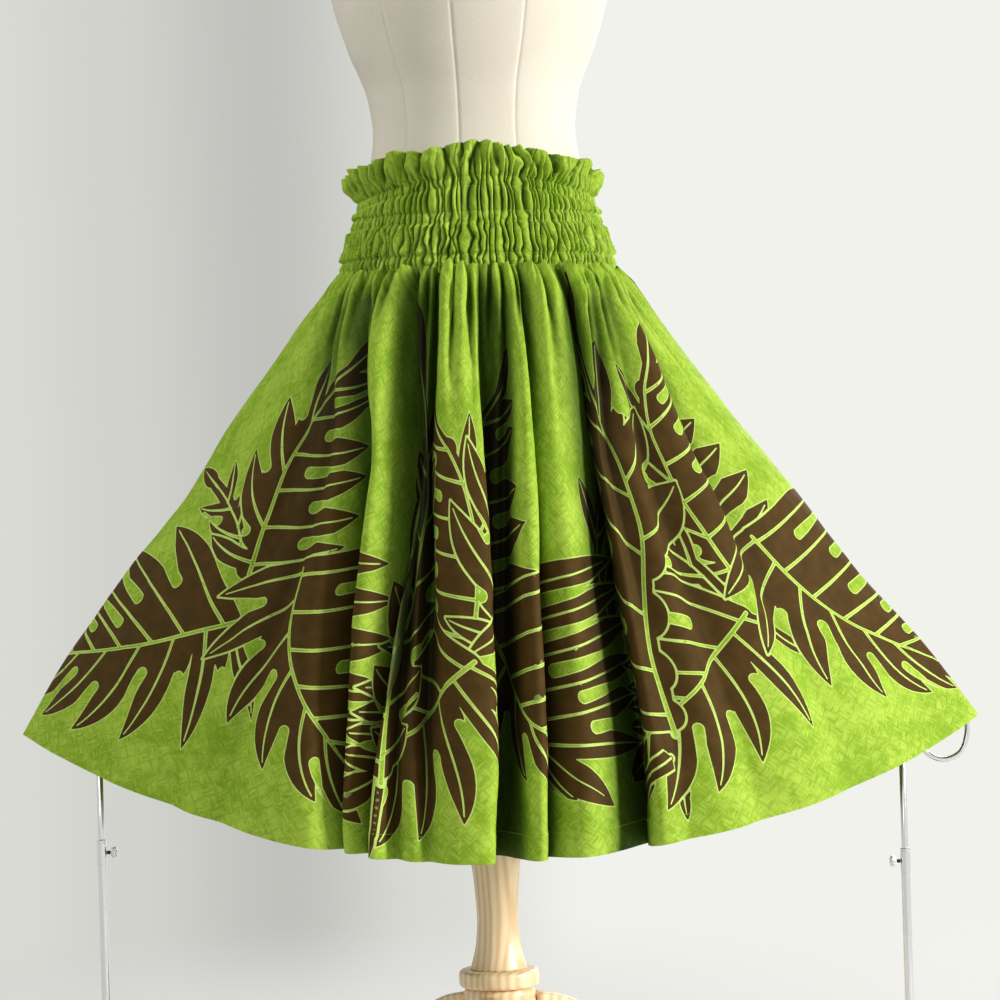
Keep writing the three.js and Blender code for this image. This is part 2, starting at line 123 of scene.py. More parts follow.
def cos_sin(degrees: float) -> Pair:
    """Gives the cosine and the sine of an angle in degrees."""
    return math.cos(math.radians(degrees)), math.sin(math.radians(degrees))


def read_along(line: Array, run: Sequence[float], at: Union[float, Array]) -> Array:
    """Reads the points of a line between its own, by the way along it."""
    return np.stack([np.interp(at, run, column) for column in line.T], axis=-1)


def blurred(grid: Array, reach: float, axis: int, ring: bool = False) -> Array:
    """Rounds a grid of points off along one axis.

    Args:
        grid: an array of points, rows by columns by three.
        reach: the blur's standard deviation, in grid steps.
        axis: 0 to blur along the columns, 1 to blur along the rows.
        ring: whether the axis closes on itself.

    Returns:
        The rounded grid, with its open ends kept in place.
    """
    half = max(1, int(math.ceil(2.5 * reach)))
    weights = np.exp(-0.5 * (np.arange(-half, half + 1) / reach) ** 2)
    weights /= weights.sum()
    pad = [(0, 0)] * grid.ndim
    pad[axis] = (half, half)
    wide = np.pad(grid, pad, mode="wrap") if ring else np.pad(grid, pad, mode="reflect", reflect_type="odd")
    count = grid.shape[axis]
    return sum(w * np.take(wide, np.arange(k, k + count), axis=axis) for k, w in enumerate(weights))


def sampled(grid: Array, row: Array, column: Array) -> Array:
    """Reads a grid between its points.

    Args:
        grid: values on rows by columns, with any further axes kept.
        row: row positions wanted, in grid steps.
        column: column positions wanted, in grid steps.

    Returns:
        The values there, by straight lines between the nearest four points.
    """
    i = np.clip(row.astype(int), 0, grid.shape[0] - 2)
    j = np.clip(column.astype(int), 0, grid.shape[1] - 2)
    shape = (-1,) + (1,) * (grid.ndim - 2)
    f, g = (np.clip(at - whole, 0, 1).reshape(shape) for at, whole in ((row, i), (column, j)))
    low, high = (grid[k, j] * (1 - g) + grid[k, j + 1] * g for k in (i, i + 1))
    return low * (1 - f) + high * f


def grid_normals(grid: Array, ring: bool = False) -> Array:
    """Finds the outward normal at each point of a grid whose rows run upwards and columns to the right.

    Args:
        grid: points, rows by columns by three.
        ring: whether its last column repeats the first.

    Returns:
        The normals.
    """
    along = np.gradient(grid, axis=1)
    if ring:
        along[:, 0] = along[:, -1] = (grid[:, 1] - grid[:, -2]) / 2
    return unit(np.cross(along, np.gradient(grid, axis=0)))


class WaveNoise:
    """Smooth seeded noise in the plane, made of a few dozen crossed waves, with a size of about one."""

    def __init__(self, seed: int, low: float, high: float, waves: int = 28, stretch: float = 1.0) -> None:
        """Chooses the waves.

        Args:
            seed: the choice of waves.
            low: the shortest wavelength.
            high: the longest wavelength.
            waves: how many waves to add up.
            stretch: how many times longer the noise runs along the second axis.
        """
        random = np.random.default_rng(seed)
        length = np.exp(random.uniform(math.log(low), math.log(high), waves))
        heading = random.uniform(0, 2 * math.pi, waves)
        self.across = 2 * math.pi * np.cos(heading) / length
        self.along = 2 * math.pi * np.sin(heading) / (length * stretch)
        self.phase = random.uniform(0, 2 * math.pi, waves)
        self.size = math.sqrt(2 / waves)

    def __call__(self, x: Array, y: Array) -> Array:
        """Reads the noise at points of the plane.

        Args:
            x: places along the first axis.
            y: places along the second axis.

        Returns:
            The noise there.
        """
        total = np.zeros(np.broadcast(x, y).shape)
        for a, b, c in zip(self.across, self.along, self.phase):
            total += np.sin(a * x + b * y + c)
        return self.size * total


# ---- finishes ----


class NodeBoard:
    """A short way of laying out nodes."""

    def __init__(self, tree: bpy.types.NodeTree) -> None:
        """Starts with an empty tree."""
        self.tree = tree
        tree.nodes.clear()

    def node(self, kind: str, inputs: Optional[dict] = None, **settings: object) -> bpy.types.Node:
        """Adds a node, sets its own properties and feeds its inputs, by name or by number.

        Args:
            kind: its type, less the word that all types begin with.
            inputs: what each input is fed.
            **settings: its own properties.

        Returns:
            The new node.
        """
        made = self.tree.nodes.new("ShaderNode" + kind)
        for name, value in settings.items():
            setattr(made, name, value)
        for key, value in (inputs or {}).items():
            self.feed(made.inputs[key], value)
        return made

    def feed(self, socket: Socket, value: object) -> None:
        """Links a socket to another, or sets its value.

        Args:
            socket: the input.
            value: a socket to link it to, or a value.
        """
        if isinstance(value, Socket):
            self.tree.links.new(value, socket)
        else:
            socket.default_value = value

    def math(self, operation: str, *values: object) -> Socket:
        """Works out one number from others."""
        return self.node("Math", dict(enumerate(values)), operation=operation).outputs[0]

    def weighed(self, *parts: tuple[object, object]) -> Socket:
        """Adds up numbers, each multiplied by its weight.

        Args:
            *parts: each number and its weight.

        Returns:
            The sum.
        """
        total, *others = [self.math("MULTIPLY", value, weight) for value, weight in parts]
        for product in others:
            total = self.math("ADD", total, product)
        return total

    def ramp(self, value: object, low: float, high: float, out: Pair = (0, 1)) -> Socket:
        """Maps a number smoothly from one range to another."""
        inputs = zip(("Value", "From Min", "From Max", "To Min", "To Max"), (value, low, high, *out))
        return self.node("MapRange", dict(inputs), interpolation_type="SMOOTHSTEP").outputs["Result"]

    def mix(self, share: object, one: object, two: object, blend: str = "MIX") -> Socket:
        """Mixes two colours."""
        one, two = (colour if isinstance(colour, Socket) else (*colour, 1.0) for colour in (one, two))
        return self.node("Mix", {0: share, 6: one, 7: two}, data_type="RGBA", blend_type=blend).outputs[2]

    def noise(self, place: Socket, scale: float, detail: float = 2.0, roughness: float = 0.5) -> Socket:
        """Adds soft noise and returns its value."""
        inputs = {"Vector": place, "Scale": scale, "Detail": detail, "Roughness": roughness}
        return self.node("TexNoise", inputs).outputs["Fac"]

    def bands(
        self, place: Socket, axis: str, scale: float, distortion: float, detail: float, finer: float
    ) -> Socket:
        """Adds soft parallel bands across an axis."""
        sizes = {"Scale": scale, "Distortion": distortion, "Detail": detail, "Detail Scale": finer}
        return self.node("TexWave", {"Vector": place, **sizes}, bands_direction=axis).outputs["Fac"]

    def stretched(self, place: Socket, scale: Sequence[float], turn: float = 0.0) -> Socket:
        """Scales, and turns about Z, the place that a texture is read at."""
        inputs = {"Vector": place, "Rotation": (0, 0, turn), "Scale": tuple(scale)}
        return self.node("Mapping", inputs).outputs["Vector"]


class FinishBoard(NodeBoard):
    """The nodes of one finish, round a Principled shader."""

    def __init__(self, name: str) -> None:
        """Starts a material that holds the shader and its output.

        Args:
            name: the material's name.
        """
        self.material = bpy.data.materials.new(name)
        self.material.use_nodes = True
        super().__init__(self.material.node_tree)
        self.shader = self.node("BsdfPrincipled")
        self.output = self.node("OutputMaterial", {"Surface": self.shader.outputs["BSDF"]})

    def here(self) -> Socket:
        """Gives the place on the piece itself, in metres."""
        return self.node("TexCoord").outputs["Object"]

    def cut(self) -> Socket:
        """Gives the place on the flat cut, in metres."""
        return self.node("UVMap", uv_map=CUT_MAP).outputs["UV"]

    def bump(self, height: Socket, distance: float, strength: float) -> None:
        """Lifts the shader's surface by a height in metres times distance.

        Args:
            height: the height.
            distance: what it is multiplied by.
            strength: how much of it shows.
        """
        made = self.node("Bump", {"Strength": strength, "Distance": distance, "Height": height})
        normal = self.shader.inputs["Normal"]
        if normal.is_linked:
            self.feed(made.inputs["Normal"], normal.links[0].from_socket)
        self.feed(normal, made.outputs["Normal"])

    def set(self, **inputs: object) -> None:
        """Sets or links the shader's inputs, named in words with underscores."""
        sockets = {socket.name.lower().replace(" ", "_"): socket for socket in self.shader.inputs}
        for name, value in inputs.items():
            self.feed(sockets[name], value)


@dataclass(frozen=True)
class PlaitedGround:
    """The cloth's ground: tone on tone diamonds like a plaited mat, brushed in two directions."""

    light: Colour = (0.41, 0.585, 0.062)
    middle: Colour = (0.225, 0.39, 0.018)
    deep: Colour = (0.13, 0.26, 0.012)
    diamond: float = 0.0125
    lay: float = 38.0
    wobble: float = 0.006
    brushes: tuple[Triple, Triple] = ((9, 0.9, 1), (0.9, 9, 1))
    line_share: float = 0.42

    def colour(self, board: NodeBoard, place: Socket) -> Socket:
        """Builds the ground's colour.

        Args:
            board: the material that it is built in.
            place: the place on the flat cut, in metres.

        Returns:
            The socket that carries the colour.
        """
        wobble = board.math("MULTIPLY", board.noise(place, 55.0), self.wobble)
        bent = board.node("VectorMath", {0: place, 1: wobble}, operation="ADD").outputs[0]
        turned = board.stretched(bent, (1 / self.diamond,) * 3, math.radians(self.lay))
        x, y = board.node("SeparateXYZ", {0: turned}).outputs[:2]
        cell = board.math("ADD", board.math("FLOOR", x), board.math("FLOOR", y))
        other = board.math("MODULO", board.math("ABSOLUTE", cell), 2.0)
        strokes = [board.noise(board.stretched(turned, brush), 1.0, 3.0, 0.6) for brush in self.brushes]
        stroke = board.weighed((strokes[0], other), (strokes[1], board.math("SUBTRACT", 1.0, other)))
        middles = [board.math("SUBTRACT", board.math("FRACT", part), 0.5) for part in (x, y)]
        edges = [board.ramp(board.math("ABSOLUTE", part), 0.31, 0.5) for part in middles]
        edge = board.math("MAXIMUM", *edges)
        blotch, cloud = board.noise(place, 16.0, 3.0, 0.6), board.noise(place, 70.0, 2.0, 0.6)
        tone = board.weighed((stroke, 0.55), (blotch, 0.45), (board.math("SUBTRACT", cloud, 0.5), 0.35))
        base = board.mix(board.ramp(tone, 0.39, 0.59), self.middle, self.light)
        lines = board.math("MULTIPLY", edge, board.ramp(cloud, 0.42, 0.66))
        return board.mix(board.math("MULTIPLY", lines, self.line_share), base, self.deep)


class Cotton(IntEnum):
    """The cotton's finishes, by material slot."""

    GROUND = 0
    LEAF_PRINT = 1
    PALE_RIM = 2
    GROUND_REVERSE = 3
    LEAF_PRINT_REVERSE = 4


@dataclass(frozen=True)
class PrintedCotton:
    """Plain-weave cotton with one of its tones, on its face or on its paler reverse."""

    kind: Cotton
    ground: PlaitedGround = PlaitedGround()
    leaf: Colour = (0.052, 0.026, 0.002)
    leaf_light: Colour = (0.078, 0.041, 0.005)
    rim: Colour = (0.60, 0.78, 0.21)
    washed: Colour = (0.46, 0.62, 0.20)
    # Painted shade: the tint and strength by which the bottom of folds and gathers is darkened.
    tuck_tint: Colour = (0.1, 0.15, 0.06)
    tuck_share: float = 0.92
    between_threads: Colour = (0.02, 0.03, 0.005)
    threads: float = 520.0

    def material(self) -> Material:
        """Builds the finish.

        Returns:
            The material.
        """
        board = FinishBoard("cotton_" + self.kind.name.lower())
        cut = board.cut()
        if self.kind in (Cotton.LEAF_PRINT, Cotton.LEAF_PRINT_REVERSE):
            grain = board.ramp(board.noise(cut, 45.0, 3.0, 0.6), 0.3, 0.75)
            colour = board.mix(grain, self.leaf, self.leaf_light)
        else:
            colour = self.ground.colour(board, cut)
        if self.kind is Cotton.PALE_RIM:
            colour = board.mix(0.75, colour, self.rim)
        if self.kind >= Cotton.GROUND_REVERSE:
            colour = board.mix(0.4, colour, self.washed)
        # Painted shade: darkens the colour towards the bottom of folds and gathers, by the value that each
        # piece carries.
        tuck = board.node("Attribute", attribute_name=PAINTED_TUCK_SHADE).outputs["Fac"]
        colour = board.mix(board.math("MULTIPLY", tuck, self.tuck_share), colour, self.tuck_tint, "MULTIPLY")
        yarns = [board.bands(cut, axis, self.threads, 0.6, 1.0, 1.0) for axis in "XY"]
        weave = board.math("MULTIPLY", *yarns)
        colour = board.mix(board.math("MULTIPLY", weave, 0.10), colour, self.between_threads)
        board.set(base_color=colour, roughness=0.72, specular_ior_level=0.14)
        board.bump(weave, 0.00012, 0.5)
        board.bump(board.noise(cut, 120.0, 3.0, 0.55), 0.0009, 0.35)
        return board.material


@dataclass(frozen=True)
class Linen:
    """The form's linen cover: warm cream, plain weave, with a faint mottle."""

    light: Colour = (0.82, 0.765, 0.65)
    dark: Colour = (0.74, 0.675, 0.55)

    def material(self) -> Material:
        """Builds the finish.

        Returns:
            The material.
        """
        board = FinishBoard("form_linen")
        cut = board.cut()
        slubs = [board.noise(board.stretched(cut, way), 260.0, 3.0, 0.6) for way in ((1, 9, 1), (9, 1, 1))]
        slub = board.math("ADD", *slubs)
        tone = board.math("MULTIPLY", board.math("ADD", slub, board.noise(cut, 9.0, 3.0, 0.55)), 0.333)
        colour = board.mix(board.ramp(tone, 0.38, 0.60), self.dark, self.light)
        board.set(base_color=colour, roughness=0.82, sheen_weight=0.10, specular_ior_level=0.25)
        board.bump(slub, 0.0003, 0.5)
        return board.material


@dataclass(frozen=True)
class Pine:
    """Pale lacquered pine, with its grain upright."""

    light: Colour = (0.97, 0.76, 0.47)
    dark: Colour = (0.80, 0.555, 0.29)

    def material(self) -> Material:
        """Builds the finish.

        Returns:
            The material.
        """
        board = FinishBoard("turned_pine")
        place = board.here()
        rings = board.bands(board.stretched(place, (1, 1, 0.07), math.radians(28)), "X", 38.0, 5.5, 2.0, 0.9)
        fibre = board.noise(board.stretched(place, (1, 1, 0.025)), 520.0, 3.0, 0.6)
        tone = board.weighed((rings, 0.6), (fibre, 0.4))
        colour = board.mix(board.ramp(tone, 0.25, 0.85), self.light, self.dark)
        board.set(base_color=colour, roughness=0.38, coat_weight=0.25, coat_roughness=0.22)
        board.bump(fibre, 0.0003, 0.35)
        return board.material


@dataclass(frozen=True)
class Chrome:
    """Bright plated steel with faint wiping marks."""

    bright: Colour = (0.80, 0.81, 0.83)
    wiped: Colour = (0.72, 0.73, 0.75)

    def material(self) -> Material:
        """Builds the finish.

        Returns:
            The material.
        """
        board = FinishBoard("bright_chrome")
        wipe = board.noise(board.stretched(board.here(), (1, 1, 0.2)), 240.0, 3.0, 0.6)
        roughness = board.ramp(wipe, 0.3, 0.8, (0.09, 0.2))
        board.set(base_color=board.mix(wipe, self.bright, self.wiped), roughness=roughness, metallic=1.0)
        return board.material


@dataclass(frozen=True)
class Speckled:
    """A small part's finish, whose colour wanders finely between two tones."""

    name: str
    grain: float
    first: Colour
    second: Colour
    roughness: Union[float, Pair]
    others: tuple[tuple[str, float], ...] = ()
    lift: float = 0.0

    def material(self) -> Material:
        """Builds the finish.

        Returns:
            The material.
        """
        board = FinishBoard(self.name)
        speck = board.noise(board.here(), self.grain)
        rough = self.roughness
        rough = board.ramp(speck, 0.3, 0.7, rough) if isinstance(rough, tuple) else rough
        board.set(base_color=board.mix(speck, self.first, self.second), roughness=rough, **dict(self.others))
        if self.lift:
            board.bump(speck, self.lift, 0.5)
        return board.material


GREEN_THREAD = Speckled("green_thread", 1400.0, (0.22, 0.42, 0.035), (0.36, 0.58, 0.07), 0.6, lift=0.0001)
CLEAR_PLASTIC = Speckled(
    "clear_grip_plastic", 900.0, (0.93, 0.94, 0.94), (0.86, 0.88, 0.88), (0.12, 0.3),
    (("transmission_weight", 0.55), ("ior", 1.49)),
)
SCREW_STEEL = Speckled(
    "black_screw_steel", 700.0, (0.025, 0.025, 0.027), (0.06, 0.06, 0.062), 0.42, (("metallic", 0.7),)
)


# ---- meshes ----


def ring_net(grid: Array) -> Net:
    """Makes points and faces of a closed ring of columns, rows running upwards.

    Args:
        grid: points, rows by columns by three, without a repeated last column.

    Returns:
        The points in one list, and four-sided faces that face out.
    """
    rows, columns = grid.shape[:2]
    i, j = np.meshgrid(np.arange(rows - 1), np.arange(columns), indexing="ij")
    a, b = i * columns + j, i * columns + (j + 1) % columns
    return grid.reshape(-1, 3), np.stack([a, b, b + columns, a + columns], axis=-1).reshape(-1, 4).tolist()


def fanned_net(grid: Array) -> Net:
    """Makes a ring net whose level ends are closed by fans round the upright axis.

    Args:
        grid: points, rows by columns by three.

    Returns:
        The points and the faces.
    """
    points, faces = ring_net(grid)
    columns, low = grid.shape[1], len(points)
    first = low - columns
    for j in range(columns):
        faces.append((low, (j + 1) % columns, j))
    for j in range(columns):
        faces.append((low + 1, first + j, first + (j + 1) % columns))
    return np.concatenate([points, [[0, 0, grid[0, 0, 2]], [0, 0, grid[-1, 0, 2]]]]), faces


def capped_net(grid: Array) -> Net:
    """Makes a net of rings that run the other way round, closed by a flat face at each end.

    Args:
        grid: points, rings by sides by three.

    Returns:
        The points and the faces.
    """
    points, faces = ring_net(grid)
    sides = grid.shape[1]
    faces = [face[:1] + face[:0:-1] for face in faces]
    return points, [*faces, list(range(sides)), list(range(len(points)))[: -sides - 1 : -1]]


def add_mesh(
    name: str,
    net: Net,
    finishes: Sequence[Material],
    replaces: Sequence[str] = (),
    normals: Optional[Array] = None,
) -> Piece:
    """Adds one piece of the object to the scene.

    Args:
        name: the piece's name.
        net: its points, in millimetres, and lists of point numbers, facing out.
        finishes: its finishes, in the order of their numbers.
        replaces: the CAD nodes that it stands for.
        normals: the shading normal at each point, if it isn't left to Blender.

    Returns:
        The new object, riding on the model's body.
    """
    points, faces = net
    mesh = bpy.data.meshes.new(name)
    mesh.from_pydata((np.asarray(points) * MM).tolist(), [], [list(map(int, face)) for face in faces])
    mesh.polygons.foreach_set("use_smooth", np.ones(len(mesh.polygons), bool))
    if normals is not None:
        mesh.normals_split_custom_set_from_vertices(unit(normals).tolist())
    mesh.update()
    piece = bpy.data.objects.new(name, mesh)
    bpy.context.scene.collection.objects.link(piece)
    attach(piece, BODY)
    if replaces:
        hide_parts(*replaces)
    for finish in finishes:
        mesh.materials.append(finish)
    LOG.info("%s: %d points, %d faces", name, len(mesh.vertices), len(mesh.polygons))
    return piece


def add_cut_map(piece: Piece, cut: Array, tuck: Optional[Array] = None) -> None:
    """Stores each point's place on the flat cut, in metres, and how much painted shade it gets at the bottom
    of a fold.

    Args:
        piece: the cotton piece.
        cut: each point's place on the flat cut, in millimetres.
        tuck: painted shade, from 0 out in the open to 1 at the bottom of a fold, or nothing for smooth cloth.
    """
    layer = piece.data.uv_layers.new(name=CUT_MAP)
    corners = np.empty(len(piece.data.loops), int)
    piece.data.loops.foreach_get("vertex_index", corners)
    layer.data.foreach_set("uv", (cut[corners] * MM).ravel())
    # Painted shade, stored for the cotton's finish.
    if tuck is not None:
        piece.data.attributes.new(PAINTED_TUCK_SHADE, "FLOAT", "POINT").data.foreach_set("value", tuck)


# ---- the skirt ----


class Facing(Enum):
    """Which width of the skirt a piece is."""

    FRONT = 1
    BACK = -1


@dataclass(frozen=True)
class Section:
    """One level of the skirt: its reach to the left, right and front, and how sharp its sides are."""

    share: float
    left: float
    right: float
    depth: float
    corner: float


@dataclass(frozen=True)
class Fold:
    """A valley between two ridges.

    Its place across the skirt is given high up, in the middle and at the hem. Its depth and half width are
    given at the four levels of FOLD_LEVELS. A lean slides its bottom sideways.
    """

    across: Triple
    depth: tuple[float, float, float, float]
    half: tuple[float, float, float, float]
    lean: float = 0.0


SECTIONS = (
    Section(0.0, 150, 150, 119, 1.0),
    Section(0.04, 164, 167, 128, 1.03),
    Section(0.1, 188, 186, 141, 1.07),
    Section(0.2, 222, 219, 160, 1.14),
    Section(0.33, 265, 263, 184, 1.23),
    Section(0.5, 320, 330, 210, 1.35),
    Section(0.67, 388, 389, 230, 1.47),
    Section(0.84, 451, 460, 244, 1.6),
    Section(1.0, 497, 516, 250, 1.7),
)
FRONT_FOLDS = (
    Fold((-0.93, -0.7, -0.66), (6, 14, 17, 10), (5, 9, 18, 40)),
    Fold((-0.85, -0.6, -0.56), (7, 17, 17, 9), (5, 9, 16, 34)),
    Fold((-0.745, -0.49, -0.33), (11, 34, 50, 30), (5, 9, 12, 9), 0.5),
    Fold((-0.5, -0.34, -0.282), (12, 34, 46, 36), (5, 8, 10, 9), 0.5),
    Fold((-0.411, -0.282, -0.198), (13, 34, 44, 20), (5, 8, 10, 13)),
    Fold((-0.277, -0.201, -0.129), (14, 36, 46, 16), (5, 7, 9, 14)),
    Fold((0.032, 0.049, 0.036), (13, 28, 42, 88), (5, 7, 8, 12), -0.25),
    Fold((0.165, 0.093, 0.055), (12, 28, 36, 14), (5, 7, 7, 8)),
    Fold((0.315, 0.21, 0.128), (12, 26, 28, 38), (5, 7, 9, 12), -0.3),
    Fold((0.519, 0.344, 0.243), (13, 40, 66, 86), (5, 9, 13, 20), 0.62),
    Fold((0.735, 0.48, 0.385), (8, 17, 19, 9), (5, 9, 16, 34)),
    Fold((0.83, 0.61, 0.53), (7, 14, 17, 7), (5, 9, 16, 38)),
    Fold((0.92, 0.8, 0.71), (6, 14, 19, 4), (4, 9, 16, 34)),
)
BACK_FOLDS = (
    Fold((-0.86, -0.63, -0.6), (6, 17, 17, 10), (5, 9, 18, 38)),
    Fold((-0.66, -0.42, -0.36), (9, 26, 40, 26), (5, 8, 13, 14), 0.3),
    Fold((-0.46, -0.27, -0.22), (10, 26, 35, 44), (5, 8, 12, 13)),
    Fold((-0.24, -0.12, -0.08), (11, 31, 42, 60), (5, 8, 12, 14), 0.15),
    Fold((-0.02, 0.01, 0.03), (11, 26, 33, 20), (5, 8, 11, 13)),
    Fold((0.2, 0.14, 0.15), (11, 31, 45, 64), (5, 8, 12, 14), -0.15),
    Fold((0.42, 0.27, 0.26), (10, 26, 35, 34), (5, 8, 12, 13)),
    Fold((0.63, 0.42, 0.38), (9, 26, 40, 24), (5, 8, 13, 15), -0.3),
    Fold((0.84, 0.64, 0.6), (6, 17, 17, 9), (5, 9, 18, 38)),
)
FOLD_SHARES = (0.05, 0.4, 1.0)
FOLD_LEVELS = (0.0, 0.1, 0.4, 1.0)


@dataclass(frozen=True)
class Crease:
    """A soft crease, given one by one: its two ends on the flat cut, its height out and its half width."""

    start: Pair
    end: Pair
    height: float
    half: float


FRONT_CREASES = (
    Crease((1270, 520), (1345, 605), 2.6, 9),
    Crease((1430, 430), (1530, 560), 2.6, 10),
    Crease((60, 430), (190, 560), 1.5, 11),
)
BACK_CREASES = (
    Crease((250, 500), (330, 600), 1.6, 10),
    Crease((1350, 440), (1450, 580), 1.7, 10),
)


@dataclass
class SkirtCloth:
    """One width of the skirt as it hangs: its outline, folds, gathers and creases, on the flat cut."""

    facing: Facing
    folds: tuple[Fold, ...]
    creases: tuple[Crease, ...]
    seed: int
    flat_width: float = 1600.0
    flat_length: float = 612.0
    top_z: float = 935.7
    front_hem_z: float = 335.0
    left_hem: Pair = (460.0, 1.7)
    right_hem: Pair = (451.0, 2.4)
    hem_up: float = 25.0
    rows: int = 170
    turns: int = 3600
    columns: int = 1000
    pleat_gap: float = 13.5
    pleat_reaches: tuple[float, float, float, float] = (0.1, 0.18, 0.3, 0.46)
    puckers: int = 64
    form_gap: float = 2.5
    seam_gap: float = 0.15
    seam_half: float = 14.0
    softness: float = 2.2
    swell: float = 14.0
    shares: Array = field(init=False)
    points: Array = field(init=False)
    normals: Array = field(init=False)
    downs: Array = field(init=False)
    # painted shade at the bottom of the folds, by point
    tucks: Array = field(init=False)

    def outline(self, turns: Array) -> Array:
        """Finds the smooth outside of this width, before its folds.

        Args:
            turns: the columns, from 0 at the left seam to 1 at the right one as seen from outside.

        Returns:
            Points by row and column, with the width's outside facing -Y.
        """
        known = [section.share for section in SECTIONS]
        wide = {
            name: smooth_curve(known, [getattr(section, name) for section in SECTIONS], self.shares)[:, None]
            for name in ("left", "right", "depth", "corner")
        }
        near, far = ("left", "right") if self.facing is Facing.FRONT else ("right", "left")
        hems = {"left": self.left_hem, "right": self.right_hem}
        c, s = np.cos(math.pi * turns)[None], np.maximum(0, np.sin(math.pi * turns))[None]
        rightward = (1 - c) / 2
        width, seam_z, power = (
            first * (1 - rightward) + last * rightward
            for first, last in ((wide[near], wide[far]), *zip(hems[near], hems[far]))
        )
        hem_z = self.front_hem_z + (seam_z - self.front_hem_z) * np.abs(c) ** power
        z = self.top_z + (hem_z - self.top_z) * self.shares[:, None]
        return np.stack([-width * c, -wide["depth"] * s ** wide["corner"], z], axis=-1)

    def folded(self) -> Array:
        """Sinks the folds into the outline and reads each row at even steps of cloth.

        Returns:
            Points by row and column of the flat cut, with how deep each one is sunk.
        """
        turns, shares = np.linspace(0, 1, self.turns), self.shares
        points = self.outline(turns)
        along = np.gradient(points, axis=1)
        along[..., 2] = 0
        along = unit(along)
        inward = np.stack([-along[..., 1], along[..., 0], np.zeros(along.shape[:2])], axis=-1)
        steps = np.linalg.norm(np.diff(points[..., :2], axis=1), axis=-1)
        run = np.concatenate([np.zeros((len(shares), 1)), np.cumsum(steps, axis=1)], axis=1)
        sink, slide = np.zeros(run.shape), np.zeros(run.shape)
        centres = []
        for fold in self.folds:
            turn = np.arccos(-smooth_curve(FOLD_SHARES, fold.across, shares)) / math.pi
            centre = np.array([np.interp(t, turns, row) for t, row in zip(turn, run)])[:, None]
            sizes = (fold.half, fold.depth)
            half, depth = (smooth_curve(FOLD_LEVELS, size, shares)[:, None] for size in sizes)
            valley = depth * self.valley((run - centre) / half, 1.7)
            sink += valley
            slide += fold.lean * valley
            centres.append(centre[:, 0])
        mains = np.array(centres).T
        sink += self.pleats(run, mains)
        points[..., :2] -= (inward * self.ridge_crowns(run, mains)[..., None])[..., :2]
        points = points + inward * sink[..., None] + along * slide[..., None]
        even, rows = np.linspace(0, 1, self.columns), []
        for row in np.concatenate([points, sink[..., None]], axis=-1):
            way = run_of(row[:, :3])
            rows.append(read_along(row, way, even * way[-1]))
        return np.array(rows)

    @staticmethod
    def valley(off: Array, power: float) -> Array:
        """Shapes a valley: steep on its left, with the wider face on its right."""
        off = np.where(off > 0, off / 1.25, off / 0.8)
        return np.exp(-np.abs(off) ** power)

    def pleats(self, run: Array, mains: Array) -> Array:
        """Sinks the short pleats between the main folds, deep below the casing and soon gone.

        Args:
            run: each point's way along its row.
            mains: the main folds' places along each row.

        Returns:
            How deep each point sinks.
        """
        random, shares = np.random.default_rng(self.seed), self.shares
        edges = np.concatenate([run[:, :1], mains, run[:, -1:]], axis=1)
        sink = np.zeros(run.shape)
        for left, right in zip(edges.T[:-1], edges.T[1:]):
            count = max(1, round((right[0] - left[0]) / self.pleat_gap) - 1)
            for k in range(count):
                part = (k + 1 + random.uniform(-0.22, 0.22)) / (count + 1)
                centre = left + part * (right - left)
                reach = random.choice(self.pleat_reaches, p=[0.2, 0.3, 0.3, 0.2]) * random.uniform(0.85, 1.2)
                top, grown = random.uniform(9, 14), random.uniform(18, 28)
                depth = top + (grown - top) * smooth_step(0.0, 0.08, shares)
                depth = depth * np.exp(-((shares / reach) ** 2))
                half = random.uniform(3.2, 4.4) + 17 * shares
                sink += depth[:, None] * self.valley((run - centre[:, None]) / half[:, None], 1.5)
        return sink

    @staticmethod
    def ridge_crowns(run: Array, centres: Array) -> Array:
        """Rounds the cloth out between neighbouring valleys.

        Args:
            run: each point's way along its row.
            centres: the valleys' places along each row.

        Returns:
            How far each point stands out.
        """
        crown = np.zeros(run.shape)
        for i, (row, valleys) in enumerate(zip(run, centres)):
            k = np.clip(np.searchsorted(valleys, row) - 1, 0, len(valleys) - 2)
            gap = valleys[k + 1] - valleys[k]
            part = np.clip((row - valleys[k]) / gap, 0, 1)
            crown[i] = np.minimum(5.0, 0.11 * gap) * smooth_step(200, 90, gap) * np.sin(math.pi * part)
        return crown

    def relief(self, across: Array, down: Array) -> Array:
        """Adds the small forms: gathers under the casing, the listed creases and a faint unevenness.

        Args:
            across: places across the flat cut.
            down: places down the flat cut, from the casing.

        Returns:
            How far the cloth stands out there.
        """
        random = np.random.default_rng(self.seed)
        height = np.zeros(np.broadcast(across, down).shape)
        mean = self.flat_width / self.puckers
        for i in range(self.puckers):
            place = (i + 0.5 + random.uniform(-0.3, 0.3)) * mean
            reach, half = random.uniform(16, 60), random.uniform(0.22, 0.36) * mean
            off = (across - place - random.uniform(-0.12, 0.12) * down) / half
            height -= random.uniform(1.5, 3.6) * np.exp(-((down / reach) ** 2)) * np.exp(-np.abs(off) ** 1.6)
        for crease in self.creases:
            (x, y), way = crease.start, np.subtract(crease.end, crease.start)
            length = float(np.hypot(*way))
            t = ((across - x) * way[0] + (down - y) * way[1]) / length**2
            off = ((across - x) * way[1] - (down - y) * way[0]) / length
            ends = smooth_step(-0.15, 0.3, t) * smooth_step(1.15, 0.6, t)
            height += crease.height * ends * np.exp(-((off / crease.half) ** 2))
        broad = WaveNoise(self.seed + 1, 90, 260, stretch=1.6)
        fine = WaveNoise(self.seed + 2, 22, 60, stretch=2.2)
        height += 1.8 * broad(across, down) + 0.28 * fine(across, down)
        turned_in = self.flat_length - self.hem_up
        return height + 0.8 * smooth_step(turned_in - 2.5, turned_in, down)

